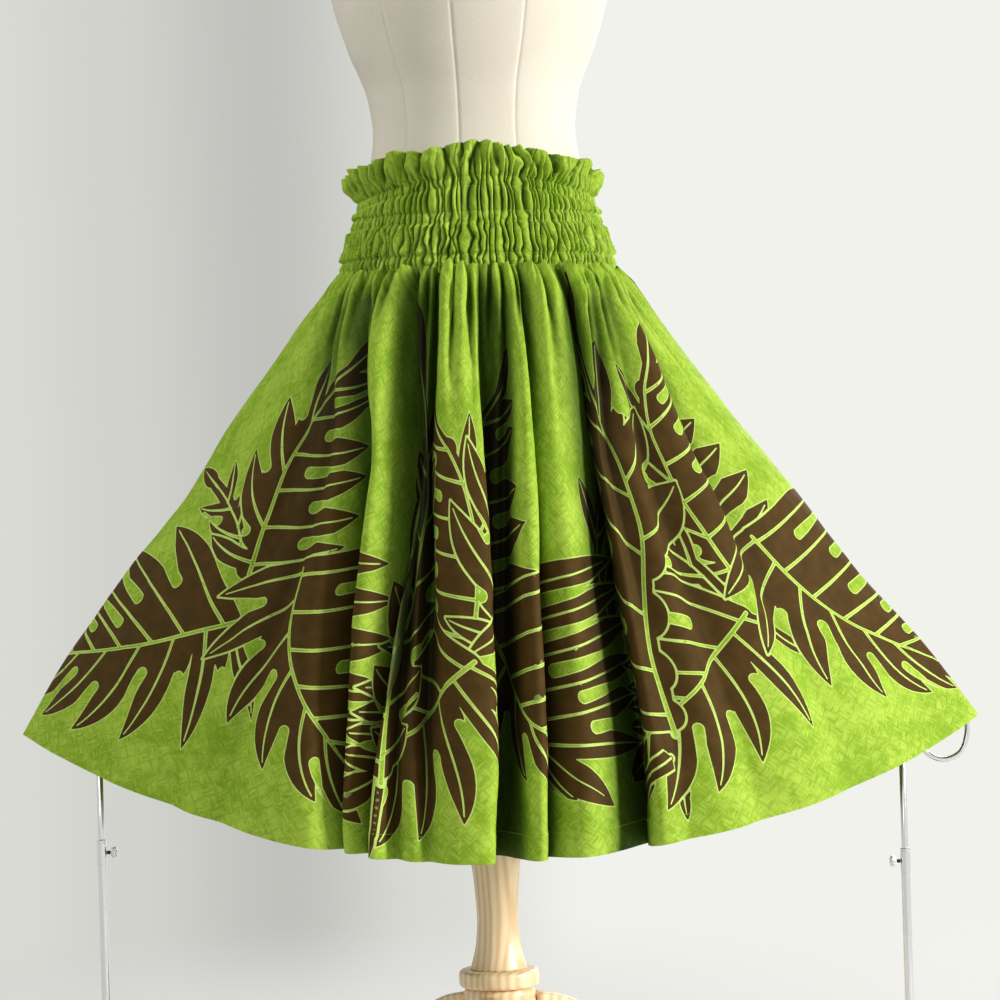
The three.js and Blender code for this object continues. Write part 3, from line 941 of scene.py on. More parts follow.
    def hang(self) -> None:
        """Works out the hanging cloth's points and normals on the flat cut's grid, and the shade painted into
        its folds.
        """
        shares = np.concatenate([np.linspace(0, 0.03, 9), np.linspace(0.03, 1, self.rows - 8)[1:]])
        self.shares, self.downs = shares, (shares * self.flat_length)[::-1]
        grid = self.folded()
        grid, sunk = grid[..., :3], grid[::-1, :, 3]
        cloth = self.flat_width / (self.columns - 1)
        grid[:, 1:-1] = blurred(grid, self.softness / cloth, axis=1)[:, 1:-1]
        grid = grid[::-1]
        across = np.linspace(0, self.flat_width, self.columns)[None]
        down = self.downs[:, None]
        seams = smooth_step(0, self.seam_half, across)
        seams = seams * smooth_step(self.flat_width, self.flat_width - self.seam_half, across)
        lift = self.relief(across, down) * seams
        dome = np.exp(-((down / 7.0) ** 1.3))
        uneven = WaveNoise(self.seed + 3, 30, 90)(across, 0 * down)
        crown = np.exp(-((sunk / 6.0) ** 2)) * (0.75 + 0.35 * uneven)
        lift = lift + 1.0 + 2.5 * np.exp(-(((down - 16) / 14) ** 2)) * crown - (4.0 + 3.0 * crown) * dome
        outward = grid_normals(blurred(grid, self.swell / cloth, axis=1))
        grid = grid + outward * (lift * seams)[..., None]
        grid[..., 2] += (1.0 + 6.0 * crown) * dome * seams
        grid = blurred(grid, 0.8, axis=0)
        facing = np.array([self.facing.value, self.facing.value, 1])
        grid = kept_off_form(grid * facing, self.form_gap) * facing
        grid[:, [0, -1], 1] = -self.seam_gap
        grid = grid * facing
        self.points, self.normals = grid, grid_normals(grid)
        # Painted shade: from nothing near the surface to full at the bottom of deep folds, deeper ones needed
        # further down.
        self.tucks = smooth_step(6.5, 16 + 24 * np.minimum(1, down / 300), sunk)[..., None]

    def hem_stitches(self, pitch: float = 3.2, length: float = 2.2) -> tuple[Array, Array, Array]:
        """Lays out the line of stitches along the hem.

        Args:
            pitch: from one stitch to the next.
            length: one stitch.

        Returns:
            Each stitch's start, end and the cloth's normal there.
        """
        row = np.interp(self.flat_length - self.hem_up, self.downs[::-1], np.arange(len(self.downs))[::-1])
        starts = np.arange(3.0, self.flat_width - 6.0, pitch)
        places = (starts, starts + length, starts + length / 2)
        columns = [at / self.flat_width * (self.columns - 1) for at in places]
        rows = np.full(len(starts), row)
        first, last = (sampled(self.points, rows, column) for column in columns[:2])
        return first, last, unit(sampled(self.normals, rows, columns[2]))


# ---- the print ----


@dataclass(frozen=True)
class Lobe:
    """One finger of a frond.

    It leaves the midrib at a share of its length, leans away from it by some degrees, and bends back towards
    the frond's tip by some degrees along its own length.
    """

    at: float
    length: float
    lean: float
    bend: float
    width: float


@dataclass(frozen=True)
class Frond:
    """One frond of the print: the midrib's points from its foot, and the lobes on its two sides."""

    spine: tuple[Pair, ...]
    left: tuple[Lobe, ...]
    right: tuple[Lobe, ...]
    tip: float = 34.0
    rib: float = 2.7
    web: float = 0.38
    slits: Pair = (1.5, 1.5)


@dataclass(frozen=True)
class Sprig:
    """Where a frond is printed: its foot's place on the cut, its turn in degrees and its size each way."""

    frond: Frond
    across: float
    down: float
    turn: float = 0.0
    size: Pair = (1.0, 1.0)


def quadratic(start: Array, bend: Array, end: Array, count: int) -> Array:
    """Reads points along a quadratic curve."""
    t = np.linspace(0, 1, count)[:, None]
    return (1 - t) ** 2 * start + 2 * t * (1 - t) * bend + t**2 * end


def along_line(line: Array, share: float) -> tuple[Array, Array]:
    """Finds the point at a share of a line's length, and the direction there.

    Args:
        line: its points.
        share: from 0 at its start to 1 at its end.

    Returns:
        The point and the direction.
    """
    steps = np.linalg.norm(np.diff(line, axis=0), axis=1)
    run = run_of(line) / steps.sum()
    k = int(np.clip(np.searchsorted(run, share, side="right") - 1, 0, len(steps) - 1))
    part = (share - run[k]) / (run[k + 1] - run[k])
    return line[k] + part * (line[k + 1] - line[k]), (line[k + 1] - line[k]) / steps[k]


def turned_by(way: Array, degrees: float) -> Array:
    """Turns a direction on the cut, to the left when positive as seen with the hem below."""
    c, s = cos_sin(degrees)
    return np.array([c * way[0] + s * way[1], -s * way[0] + c * way[1]])


@dataclass
class LeafPrint:
    """The brown leaf print of one width, as a field on the flat cut: above nought inside the leaves."""

    width: float
    length: float
    cell: float = 1.0
    halo: float = 2.6
    bare: float = 50.0
    margin: float = 50.0
    vein: float = 1.95
    shortest: float = 7.0
    field: Array = field(init=False)

    def __post_init__(self) -> None:
        """Starts with bare cloth."""
        self.field = np.full((int(self.length / self.cell) + 1, int(self.width / self.cell) + 1), -self.bare)

    def window(self, line: Array, reach: float) -> tuple[slice, slice]:
        """Finds the part of the field within reach of a line.

        Args:
            line: the line's points.
            reach: how far from it.

        Returns:
            Its rows and its columns.
        """
        low = np.floor((line.min(axis=0) - reach) / self.cell).astype(int)
        high = np.ceil((line.max(axis=0) + reach) / self.cell).astype(int) + 1
        return tuple(
            slice(int(np.clip(low[k], 0, size)), int(np.clip(high[k], 0, size)))
            for k, size in zip((1, 0), self.field.shape)
        )

    def near(self, window: tuple[slice, slice], line: Array) -> tuple[Array, Array]:
        """Measures the way from each point of a window to a line.

        Args:
            window: the part of the field.
            line: the line's points.

        Returns:
            The distance, and the share of the line at its nearest point.
        """
        y = (np.arange(window[0].start, window[0].stop) * self.cell)[:, None]
        x = (np.arange(window[1].start, window[1].stop) * self.cell)[None]
        best = np.full((y.size, x.size), 1e9)
        share = np.zeros(best.shape)
        for k, (here, way) in enumerate(zip(line, np.diff(line, axis=0))):
            span = max(float(way @ way), 1e-9)
            t = np.clip(((x - here[0]) * way[0] + (y - here[1]) * way[1]) / span, 0, 1)
            away = np.hypot(x - here[0] - t * way[0], y - here[1] - t * way[1])
            closer = away < best
            best = np.where(closer, away, best)
            share = np.where(closer, (k + t) / (len(line) - 1), share)
        return best, share

    def stamp(self, sprig: Sprig) -> None:
        """Prints one frond over what is there, with a thin line of bare cloth round it.

        Args:
            sprig: the frond and where it is printed.
        """
        frond = sprig.frond
        c, s = cos_sin(sprig.turn)
        knots = np.array(frond.spine) @ np.array([[c, s], [-s, c]]) * sprig.size + (sprig.across, sprig.down)
        t, fine = np.linspace(0, 1, len(knots)), np.linspace(0, 1, 4 * len(knots))
        spine = np.stack([smooth_curve(t, column, fine) for column in knots.T], axis=1)
        sides = list(zip((frond.left, frond.right), frond.slits))
        if min(sprig.size) < 0:
            sides.reverse()
        blades = [self.blades(spine, lobes, side, sprig.size) for (lobes, _), side in zip(sides, (1, -1))]
        end = spine[-1] + np.linspace(-12, 2.4 * frond.tip, 8)[:, None] * unit(spine[-1] - spine[-2])
        everything = np.concatenate([spine, end, *[line for side in blades for line, _ in side]])
        window = self.window(everything, self.margin)
        if any(part.stop <= part.start for part in window):
            return
        solid = np.full(self.field[window].shape, -self.bare)
        gaps, veins = np.full(solid.shape, self.bare), np.full(solid.shape, self.bare)

        def put(target: Array, line: Array, reach: float, join: Callable, shape: Callable) -> None:
            """Joins a shape round a line into one of the frond's own fields.

            Args:
                target: the field.
                line: the line's points.
                reach: how far from the line the shape goes.
                join: how the two are joined.
                shape: the shape, from the distance and the share.
            """
            part = tuple(
                slice(max(p.start, w.start), min(p.stop, w.stop))
                for p, w in zip(self.window(line, reach), window)
            )
            if all(p.stop > p.start for p in part):
                inner = tuple(slice(p.start - w.start, p.stop - w.start) for p, w in zip(part, window))
                target[inner] = join(target[inner], shape(*self.near(part, line)))

        tip = 0.5 * frond.tip
        put(solid, end, 40, np.maximum, lambda d, t: tip * np.minimum(1, 0.4 + 1.7 * t) * self.belly(t) - d)
        put(veins, end, 8, np.minimum, lambda d, t: d - 1.5 * (1.12 - t))
        put(veins, spine, 10, np.minimum, lambda d, t: d - frond.rib * (1 - 0.4 * t))
        put(solid, spine, 30, np.maximum, lambda d, t: 11 * (1 - 0.35 * t) * np.minimum(1, 0.25 + t * 9) - d)
        for side, (_, slit) in zip(blades, sides):
            for line, width in side:
                put(solid, line, 48, np.maximum, lambda d, t, w=width: 0.5 * w * self.belly(t) - d)
                put(veins, line[:-1], 8, np.minimum, lambda d, t: d - self.vein * (1.08 - 0.7 * t))
            for k, ((first, w1), (second, w2)) in enumerate(zip(side[:-1], side[1:])):
                middle = 0.5 * (first + second)
                start = int(round((frond.web + 0.07 * math.sin(2.6 * k + w1)) * (len(middle) - 1)))
                stalk = middle[: start + 1]
                put(solid, stalk, 16, np.maximum, lambda d, t: 9.5 * np.sqrt(1 - 0.92 * t**5) - d)
                gap = np.concatenate([middle[start:], middle[-1:] + 0.4 * (middle[-1:] - middle[-3:-2])])
                bulb = 4.6 + 0.03 * (w1 + w2) + 0.8 * math.sin(4.1 * k + w2)
                put(gaps, gap, 20, np.minimum, lambda d, t, b=bulb, o=slit: d - self.drop(t, b, o))
        inked = np.minimum(np.minimum(solid, gaps), veins)
        self.field[window] = np.maximum(np.minimum(self.field[window], -(solid + self.halo)), inked)

    @staticmethod
    def belly(t: Array) -> Array:
        """Gives a lobe's width along its length, as a share of its widest: full, then pointed."""
        return np.minimum(1.0, 0.84 + 0.3 * t) * (1 - np.clip((t - 0.42) / 0.58, 0, 1) ** 1.9)

    @staticmethod
    def drop(t: Array, bulb: float, outer: float) -> Array:
        """Gives half the width of the slit between two lobes: a round drop inside, then a narrower line."""
        return np.maximum(bulb * np.sqrt(np.clip(1 - (t / 0.5) ** 1.6, 0, 1)), outer + 0.8 * t)

    @staticmethod
    def blades(spine: Array, lobes: Sequence[Lobe], side: int, size: Pair) -> list[tuple[Array, float]]:
        """Draws the middle lines of the lobes on one side of a frond, from its foot to its tip.

        Args:
            spine: the midrib's points.
            lobes: the lobes.
            side: 1 for the left side, -1 for the right one.
            size: the sprig's size each way.

        Returns:
            A line and a width for each lobe.
        """
        drawn = []
        grow, stretch = math.sqrt(abs(size[0] * size[1])), np.abs(size)
        for lobe in lobes:
            foot, way = along_line(spine, lobe.at)
            start_way = turned_by(way, side * lobe.lean) * stretch
            end_way = turned_by(way, side * (lobe.lean - lobe.bend)) * stretch
            middle = foot + 0.52 * lobe.length * start_way
            end = middle + 0.48 * lobe.length * end_way
            drawn.append((quadratic(foot, middle, end, 15), lobe.width * grow))
        return drawn

    def outlines(self, level: float, tolerance: float) -> list[Array]:
        """Follows the print's edges.

        Args:
            level: the field's value along the edge.
            tolerance: how far a kept point's line may stray from the edge.

        Returns:
            Lines of points on the flat cut, closed ones with their first point repeated.
        """
        f = self.field - level
        f = np.where(np.abs(f) < 1e-6, 1e-6, f)
        inside, columns, shift = f > 0, f.shape[1], f.size
        crossings: dict[int, Pair] = {}
        for upright, (a, b) in enumerate(((f[:, :-1], f[:, 1:]), (f[:-1], f[1:]))):
            for i, j in np.argwhere((a > 0) != (b > 0)):
                part = a[i, j] / (a[i, j] - b[i, j])
                place = ((j + part * (1 - upright)) * self.cell, (i + part * upright) * self.cell)
                crossings[int(upright * shift + i * columns + j)] = place
        links: dict[int, list[int]] = {key: [] for key in crossings}
        corners = sum(
            part.astype(int) for rows in (inside[:-1], inside[1:]) for part in (rows[:, :-1], rows[:, 1:])
        )
        for i, j in np.argwhere((corners > 0) & (corners < 4)):
            top = int(i * columns + j)
            right, bottom, left = shift + top + 1, top + columns, shift + top
            ends = [edge for edge in (top, right, bottom, left) if edge in crossings]
            if len(ends) == 4:
                ends = [left, bottom, top, right] if inside[i, j] else [top, left, right, bottom]
            for a, b in zip(ends[::2], ends[1::2]):
                links[a].append(b)
                links[b].append(a)
        lines, seen = [], set()
        for start in [key for key, near in links.items() if len(near) == 1] + list(links):
            if start in seen:
                continue
            chain, before = [start], None
            seen.add(start)
            while True:
                here = chain[-1]
                closes = len(chain) > 2
                onward = [k for k in links[here] if k != before and (k not in seen or k == start and closes)]
                if not onward:
                    break
                before = here
                chain.append(onward[0])
                if onward[0] == start:
                    break
                seen.add(onward[0])
            points = np.array([crossings[key] for key in chain])
            if run_of(points)[-1] > self.shortest:
                lines.append(thinned(points, tolerance))
        return [line for line in lines if len(line) > 2]


def thinned(points: Array, tolerance: float) -> Array:
    """Drops the points of a line that lie close enough to the rest of it.

    Args:
        points: the line's points.
        tolerance: how far a dropped point may lie from what is kept.

    Returns:
        The points that are kept.
    """
    keep = np.zeros(len(points), bool)
    keep[[0, -1]] = True
    stack = [(0, len(points) - 1)]
    if np.allclose(points[0], points[-1]):
        middle = int(np.argmax(np.linalg.norm(points - points[0], axis=1)))
        keep[middle] = True
        stack = [(0, middle), (middle, len(points) - 1)]
    while stack:
        a, b = stack.pop()
        if b - a < 2:
            continue
        way, inner = points[b] - points[a], points[a + 1 : b] - points[a]
        off = np.abs(inner[:, 0] * way[1] - inner[:, 1] * way[0]) / max(float(np.hypot(*way)), 1e-9)
        worst = int(np.argmax(off))
        if off[worst] > tolerance:
            k = a + 1 + worst
            keep[k] = True
            stack += [(a, k), (k, b)]
    return points[keep]


# ---- the cloth's meshes ----


def triangles(places: Sequence, edges: Sequence[tuple[int, int]], least: float, turn: int) -> Net:
    """Cuts a flat sheet into triangles.

    Args:
        places: points on the flat cut.
        edges: pairs of them that an edge has to join.
        least: twice the area below which a triangle is dropped.
        turn: 1 where the cloth faces out, -1 where it faces in.

    Returns:
        The points on the flat cut and the triangles.
    """
    result = delaunay_2d_cdt([Vector(place) for place in places], edges, [], 0, 1e-3)
    flat = np.array([tuple(v) for v in result[0]])
    faces = np.array([tuple(f) for f in result[2]], int)
    a, b, c = (flat[faces[:, k]] for k in range(3))
    twice = (b[:, 0] - a[:, 0]) * (c[:, 1] - a[:, 1]) - (b[:, 1] - a[:, 1]) * (c[:, 0] - a[:, 0])
    faces, twice = faces[np.abs(twice) > least], twice[np.abs(twice) > least]
    wrong = twice * turn > 0
    faces[wrong] = faces[wrong][:, ::-1]
    return flat, faces


@dataclass
class PrintedPanel:
    """One printed width of the skirt: a thin shell, cut along the print's edges, with its reverse inside."""

    name: str
    node: str
    cloth: SkirtCloth
    printed: LeafPrint
    finishes: Sequence[Material]
    wall: float = 0.55
    hem_wall: float = 0.5
    top_rows: Pair = (3.0, 8.0)
    row_steps: tuple[Pair, ...] = ((60, 4.5), (150, 6.0), (1000, 7.5))  # how far down, and the step
    chord: float = 0.10
    longest: float = 12.0
    shortest: float = 1.9
    rim: float = 1.25
    clear: float = 1.3
    stray: float = 0.16
    least: Pair = (0.004, 0.01)
    reverse_spacing: Triple = (1.7, 3.2, 14)

    def spacing(self) -> Array:
        """Finds how far apart points may lie along each row, from how tightly the cloth bends there.

        Returns:
            The spacing at each point of the cloth's grid.
        """
        step = self.cloth.flat_width / (self.cloth.columns - 1)
        bend = np.linalg.norm(np.diff(self.cloth.normals, axis=1), axis=-1) / step
        bend = np.concatenate([bend[:, :1], bend], axis=1)
        bend = blurred(bend[..., None], 1.2, axis=1)[..., 0]
        return np.clip(np.sqrt(8 * self.chord / np.maximum(bend, 1e-5)), self.shortest, self.longest)

    def to_grid(self, cut: Array) -> tuple[Array, Array]:
        """Turns places on the flat cut into row and column positions of the hanging cloth's grid."""
        rows = np.interp(-cut[:, 1], -self.cloth.downs, np.arange(len(self.cloth.downs)))
        return rows, cut[:, 0] / self.cloth.flat_width * (self.cloth.columns - 1)

    def inner_points(self, spacing: Array) -> Array:
        """Places points over the cut, closer together where the cloth bends.

        Args:
            spacing: how far apart they may lie, by row and column of the cloth's grid.

        Returns:
            The points.
        """
        top, hem = float(self.cloth.downs.min()), self.cloth.flat_length
        levels = [top, 0.35 * top, *self.top_rows]
        while levels[-1] < hem - 1:
            levels.append(levels[-1] + next(step for down, step in self.row_steps if levels[-1] < down))
        levels = np.array([level for level in levels if level < hem - 3] + [hem])
        found = []
        for i, level in enumerate(levels):
            row, _ = self.to_grid(np.array([[0.0, level]]))
            near = spacing[int(round(float(row[0])))]
            u = np.linspace(0, self.cloth.flat_width, len(near))
            count = summed(np.diff(u) / near[1:])
            many = max(4, int(round(count[-1])))
            marks = (np.arange(many + 1) + (0.5 if i % 2 else 0.0)) / many
            marks = np.concatenate([marks[:-1], [0.0, 1.0]]) if i % 2 else marks
            places = np.interp(np.clip(marks, 0, 1) * count[-1], count, u)
            found.append(np.stack([places, np.full(places.shape, level)], axis=1))
        return np.concatenate(found)

    def split_up(self, line: Array, spacing: Array) -> Array:
        """Adds points to a line of the print wherever its pieces are longer than the cloth's bend allows.

        Args:
            line: the line's points.
            spacing: how far apart they may lie, by row and column of the cloth's grid.

        Returns:
            The line with the added points.
        """
        allowed = 1.25 * sampled(spacing[..., None], *self.to_grid(line))[:, 0]
        lengths = np.linalg.norm(np.diff(line, axis=0), axis=1)
        parts = np.maximum(1, np.ceil(lengths / np.minimum(allowed[:-1], allowed[1:])).astype(int))
        pieces = [a + (b - a) * np.arange(n)[:, None] / n for a, b, n in zip(line[:-1], line[1:], parts)]
        return np.concatenate([*pieces, line[-1:]])

    def cut_out(self) -> tuple[Array, Array, Array]:
        """Cuts the flat cloth into triangles that follow the print's edges.

        Returns:
            The points on the flat cut, the triangles, and each triangle's finish.
        """
        spacing = self.spacing()
        grid, size = self.inner_points(spacing), np.array([self.cloth.flat_width, self.cloth.flat_length])
        value = self.value_at(grid)
        top = self.cloth.downs.min() + 1e-3
        edge = (grid[:, 0] < 1e-3) | (grid[:, 1] <= top) | (grid > size - 1e-3).any(axis=1)
        clear = (np.abs(value) > self.clear) & (np.abs(value + self.rim) > self.clear)
        places, edges = [tuple(place) for place in grid[clear | edge]], []
        for level in (0.0, -self.rim):
            for line in self.printed.outlines(level, self.stray):
                line = np.clip(self.split_up(line, spacing), 0.05, size - 0.05)
                edges += [(len(places) + k, len(places) + k + 1) for k in range(len(line) - 1)]
                places += [tuple(place) for place in line]
        flat, faces = triangles(places, edges, self.least[0], 1)
        middle = self.value_at(flat[faces].mean(axis=1))
        ink = np.where(middle > -self.rim, Cotton.PALE_RIM, Cotton.GROUND)
        ink = np.where(middle > 0, Cotton.LEAF_PRINT, ink)
        return flat, faces, ink

    def value_at(self, cut: Array) -> Array:
        """Reads the print's field at places on the flat cut."""
        cell = self.printed.cell
        return sampled(self.printed.field[..., None], np.maximum(cut[:, 1], 0) / cell, cut[:, 0] / cell)[:, 0]

    def build(self) -> None:
        """Builds the width, face and reverse, joined round its edges."""
        cloth = self.cloth
        flat, faces, ink = self.cut_out()
        coarser, closest, widest = self.reverse_spacing
        inner = self.inner_points(np.clip(coarser * self.spacing(), closest, widest))
        back_flat, back_faces = triangles(inner, [], self.least[1], -1)
        hung, inner = (
            [sampled(grid, *self.to_grid(cut)) for grid in (cloth.points, cloth.normals)]
            for cut in (flat, back_flat)
        )
        turned_in = cloth.flat_length - cloth.hem_up
        hem = smooth_step(turned_in - 1.0, turned_in, back_flat[:, 1])
        points = np.concatenate([hung[0], inner[0] - inner[1] * (self.wall + self.hem_wall * hem)[:, None]])
        rim_faces = self.edge_faces(flat, back_flat)
        every = np.concatenate([faces, back_faces + len(flat), rim_faces])
        normals = np.concatenate([hung[1], -inner[1]])
        piece = add_mesh(self.name, (points, every), self.finishes, (self.node,), normals)
        behind = self.value_at(back_flat[back_faces].mean(axis=1))
        back_ink = np.where(behind > 0, Cotton.LEAF_PRINT_REVERSE, Cotton.GROUND_REVERSE)
        slots = np.concatenate([ink, back_ink, np.full(len(rim_faces), Cotton.GROUND)])
        piece.data.polygons.foreach_set("material_index", slots)
        cut = np.concatenate([flat, back_flat])
        # The cut's places go with the painted shade of the folds.
        add_cut_map(piece, cut, sampled(cloth.tucks, *self.to_grid(cut))[:, 0])

    def edge_faces(self, flat: Array, back_flat: Array) -> Array:
        """Joins the face to the reverse along the hem, the sides and the top.

        Args:
            flat: the face's points on the cut.
            back_flat: the reverse's points on the cut.

        Returns:
            Triangles between the two.
        """
        cloth, made = self.cloth, []
        for axis, at, order in (
            (1, cloth.flat_length, 1), (1, float(cloth.downs.min()), -1),
            (0, 0.0, 1), (0, cloth.flat_width, -1),
        ):
            loops = []
            for cut, shift in ((flat, 0), (back_flat, len(flat))):
                on = np.flatnonzero(np.abs(cut[:, axis] - at) < 1e-3)
                loops.append((on[np.argsort(cut[on, 1 - axis])] + shift, np.sort(cut[on, 1 - axis])))
            (front, front_at), (rear, rear_at) = loops
            i = j = 0
            for _, behind in sorted([(u, 0) for u in front_at[1:]] + [(u, 1) for u in rear_at[1:]]):
                face = (front[i], rear[j], rear[j + 1] if behind else front[i + 1])
                i, j = i + 1 - behind, j + behind
                made.append(face[::order])
        return np.array(made, int)


@dataclass
class Stitching:
    """Short stitches of thread, each one a small rounded bar laid on the cloth."""

    name: str
    thread: float = 0.28
    sides: int = 5
    rings: tuple[Triple, ...] = ((0.0, 0.55, -0.25), (0.22, 1.0, 0.75), (0.78, 1.0, 0.75), (1.0, 0.55, -0.25))

    def build(self, starts: Array, ends: Array, normals: Array, finish: Material) -> None:
        """Builds all the stitches as one piece.

        Args:
            starts: where each stitch comes out of the cloth.
            ends: where each stitch goes back in.
            normals: the cloth's outward normals there.
            finish: the thread's finish.
        """
        way = unit(ends - starts)
        side = unit(np.cross(normals, way))
        up = unit(np.cross(way, side))
        rings = []
        for share, size, lift in self.rings:
            middle = starts + share * (ends - starts) + up * lift * self.thread
            for k in range(self.sides):
                angle = 2 * math.pi * k / self.sides
                rings.append(middle + self.thread * size * (math.cos(angle) * side + math.sin(angle) * up))
        points = np.stack(rings, axis=1).reshape(-1, 3)
        _, bar = ring_net(np.zeros((len(self.rings), self.sides, 3)))
        bar += [list(range(self.sides))[::-1], list(range(len(rings)))[-self.sides :]]
        bases = range(0, len(points), len(rings))
        faces = [[base + corner for corner in face] for base in bases for face in bar]
        add_mesh(self.name, (points, faces), [finish])


# ---- the dress form ----

FORM_LEVELS = (
    (792, 138, 90, 94), (800, 146, 98, 102), (850, 149, 102, 107), (900, 146, 103, 106), (936, 141, 102, 103),
    (948, 138.5, 101, 101), (980, 130, 96, 95), (992, 127, 94, 92), (1000, 124.5, 92.5, 90.5),
    (1011, 121.5, 90, 88), (1040, 113, 85, 83), (1085, 107, 81, 79), (1120, 111.5, 85, 82),
    (1172, 131, 103, 92), (1223, 146, 123, 100), (1265, 153, 130, 105), (1310, 156, 122, 108),
    (1350, 165, 106, 105), (1380, 174, 90, 97), (1400, 168, 78, 86), (1416, 138, 68, 75), (1430, 98, 61, 65),
    (1443, 70, 56, 58), (1456, 59, 53, 54), (1484, 54, 51, 51),
)  # height, half width, half depth in front and behind


def form_size(z: Array) -> tuple[Array, Array, Array]:
    """Reads the form's half width and its half depths in front and behind at heights."""
    levels, *sizes = np.array(FORM_LEVELS, float).T
    return tuple(smooth_curve(levels, size, np.clip(z, levels[0], levels[-1])) for size in sizes)


def oval(angle: Array, z: Array, spread: Array) -> Array:
    """Finds points that stand off the form by a spread, round it at angles and heights.

    Args:
        angle: the points' angles.
        z: their heights.
        spread: how far each one stands off.

    Returns:
        The points.
    """
    width, front, back = form_size(z)
    share = smooth_step(-0.12, 0.12, np.sin(angle))
    depth = front * (1 - share) + back * share
    return np.stack([(width + spread) * np.cos(angle), (depth + spread) * np.sin(angle), z], axis=-1)


def kept_off_form(grid: Array, gap: float) -> Array:
    """Moves any point that would touch the form out to just clear of it.

    Args:
        grid: the points.
        gap: how far off the form they have to be.

    Returns:
        The points, moved where they have to be.
    """
    width, front, back = form_size(grid[..., 2])
    depth = np.where(grid[..., 1] < 0, front, back)
    reach = np.hypot(grid[..., 0] / width, grid[..., 1] / depth)
    beside = grid[..., 2] > FORM_LEVELS[0][0] - 10
    least = (1 + gap / np.minimum(width, depth)) / np.maximum(reach, 1e-6)
    push = np.where(beside, np.maximum(1.0, least), 1.0)
    return np.concatenate([grid[..., :2] * push[..., None], grid[..., 2:]], axis=-1)


@dataclass
class DressForm:
    """The limbless form that wears the skirt: linen over a torso, sewn in upright panels."""

    seams: tuple[float, ...] = (-98.0, -66.0, -130.0, -10.0, 172.0, 50.0, 114.0, 82.0)
    seam_depth: float = 0.9
    seam_half: float = 1.3
    seam_columns: tuple[float, ...] = (-1.5, -0.9, -0.45, 0.0, 0.45, 0.9, 1.5)
    row_step: float = 4.0
    mean_radius: float = 130.0
    cloth: Linen = Linen()

    def angles(self) -> Array:
        """Chooses the columns, closer together at each seam.

        Returns:
            The angles, in order.
        """
        around = list(np.linspace(0, 360, 120, endpoint=False))
        for seam in self.seams:
            around = [a for a in around if abs((a - seam + 180) % 360 - 180) > 1.8]
            around += [(seam + offset) % 360 for offset in self.seam_columns]
        return np.radians(np.sort(np.array(around)))

    def build(self) -> None:
        """Builds the linen cover."""
        angle = self.angles()
        low, high = float(FORM_LEVELS[0][0]), float(FORM_LEVELS[-1][0])
        z = np.arange(low, high + 0.01, self.row_step)
        grid = oval(angle[None], z[:, None] + 0 * angle[None], np.zeros((len(z), len(angle))))
        radius = np.linalg.norm(grid[..., :2], axis=-1)
        groove = np.zeros(radius.shape)
        for seam in self.seams:
            off = (angle[None] - math.radians(seam) + math.pi) % (2 * math.pi) - math.pi
            groove += self.seam_depth * np.exp(-((off * radius / self.seam_half) ** 2))
        normals = grid_normals(np.concatenate([grid, grid[:, :1]], axis=1), ring=True)[:, :-1]
        net = fanned_net(grid - normals * groove[..., None])
        piece = add_mesh("form_cover", net, [self.cloth.material()], ("form_torso",))
        around = np.tile(summed(np.diff(angle)) * self.mean_radius, len(z))
        cut = np.stack([around, np.repeat(z, len(angle))], axis=1)
        add_cut_map(piece, np.concatenate([cut, [[0, low], [0, high]]]))


# ---- turned and sawn wood ----


def turned(profile: Sequence[Pair], columns: int = 72) -> Net:
    """Turns a profile of heights and radii, from the lowest up, about the upright axis and closes it.

    Args:
        profile: the heights and radii.
        columns: how many sides it gets.

    Returns:
        The points and the faces.
    """
    angle = full_turn(columns)
    z, r = (np.array(column, float)[:, None] for column in zip(*profile))
    return fanned_net(np.stack([r * np.cos(angle), r * np.sin(angle), z + 0 * angle], axis=-1))


def rounded_profile(knots: Sequence[Pair], count: int) -> list[Pair]:
    """Smooths a profile of rising heights and radii, read at some even heights.

    Args:
        knots: the heights and radii.
        count: how many heights are read.

    Returns:
        The smooth profile.
    """
    z, r = np.array(knots, float).T
    fine = np.linspace(z[0], z[-1], count)
    return list(zip(fine, smooth_curve(z, r, fine)))


def beaded_disc(low: float, high: float, radius: float, bead: float) -> list[Pair]:
    """Draws the profile of a disc with round edges.

    Args:
        low: its underside's height.
        high: its top's height.
        radius: its radius.
        bead: how round its edges are.

    Returns:
        The heights and radii.
    """
    arc = np.linspace(0, math.pi / 2, 7)
    lower = [(low + bead * (1 - math.cos(a)), radius - bead * (1 - math.sin(a))) for a in arc]
    upper = [(high - bead * (1 - math.sin(a)), radius - bead * (1 - math.cos(a))) for a in arc]
    return lower + upper


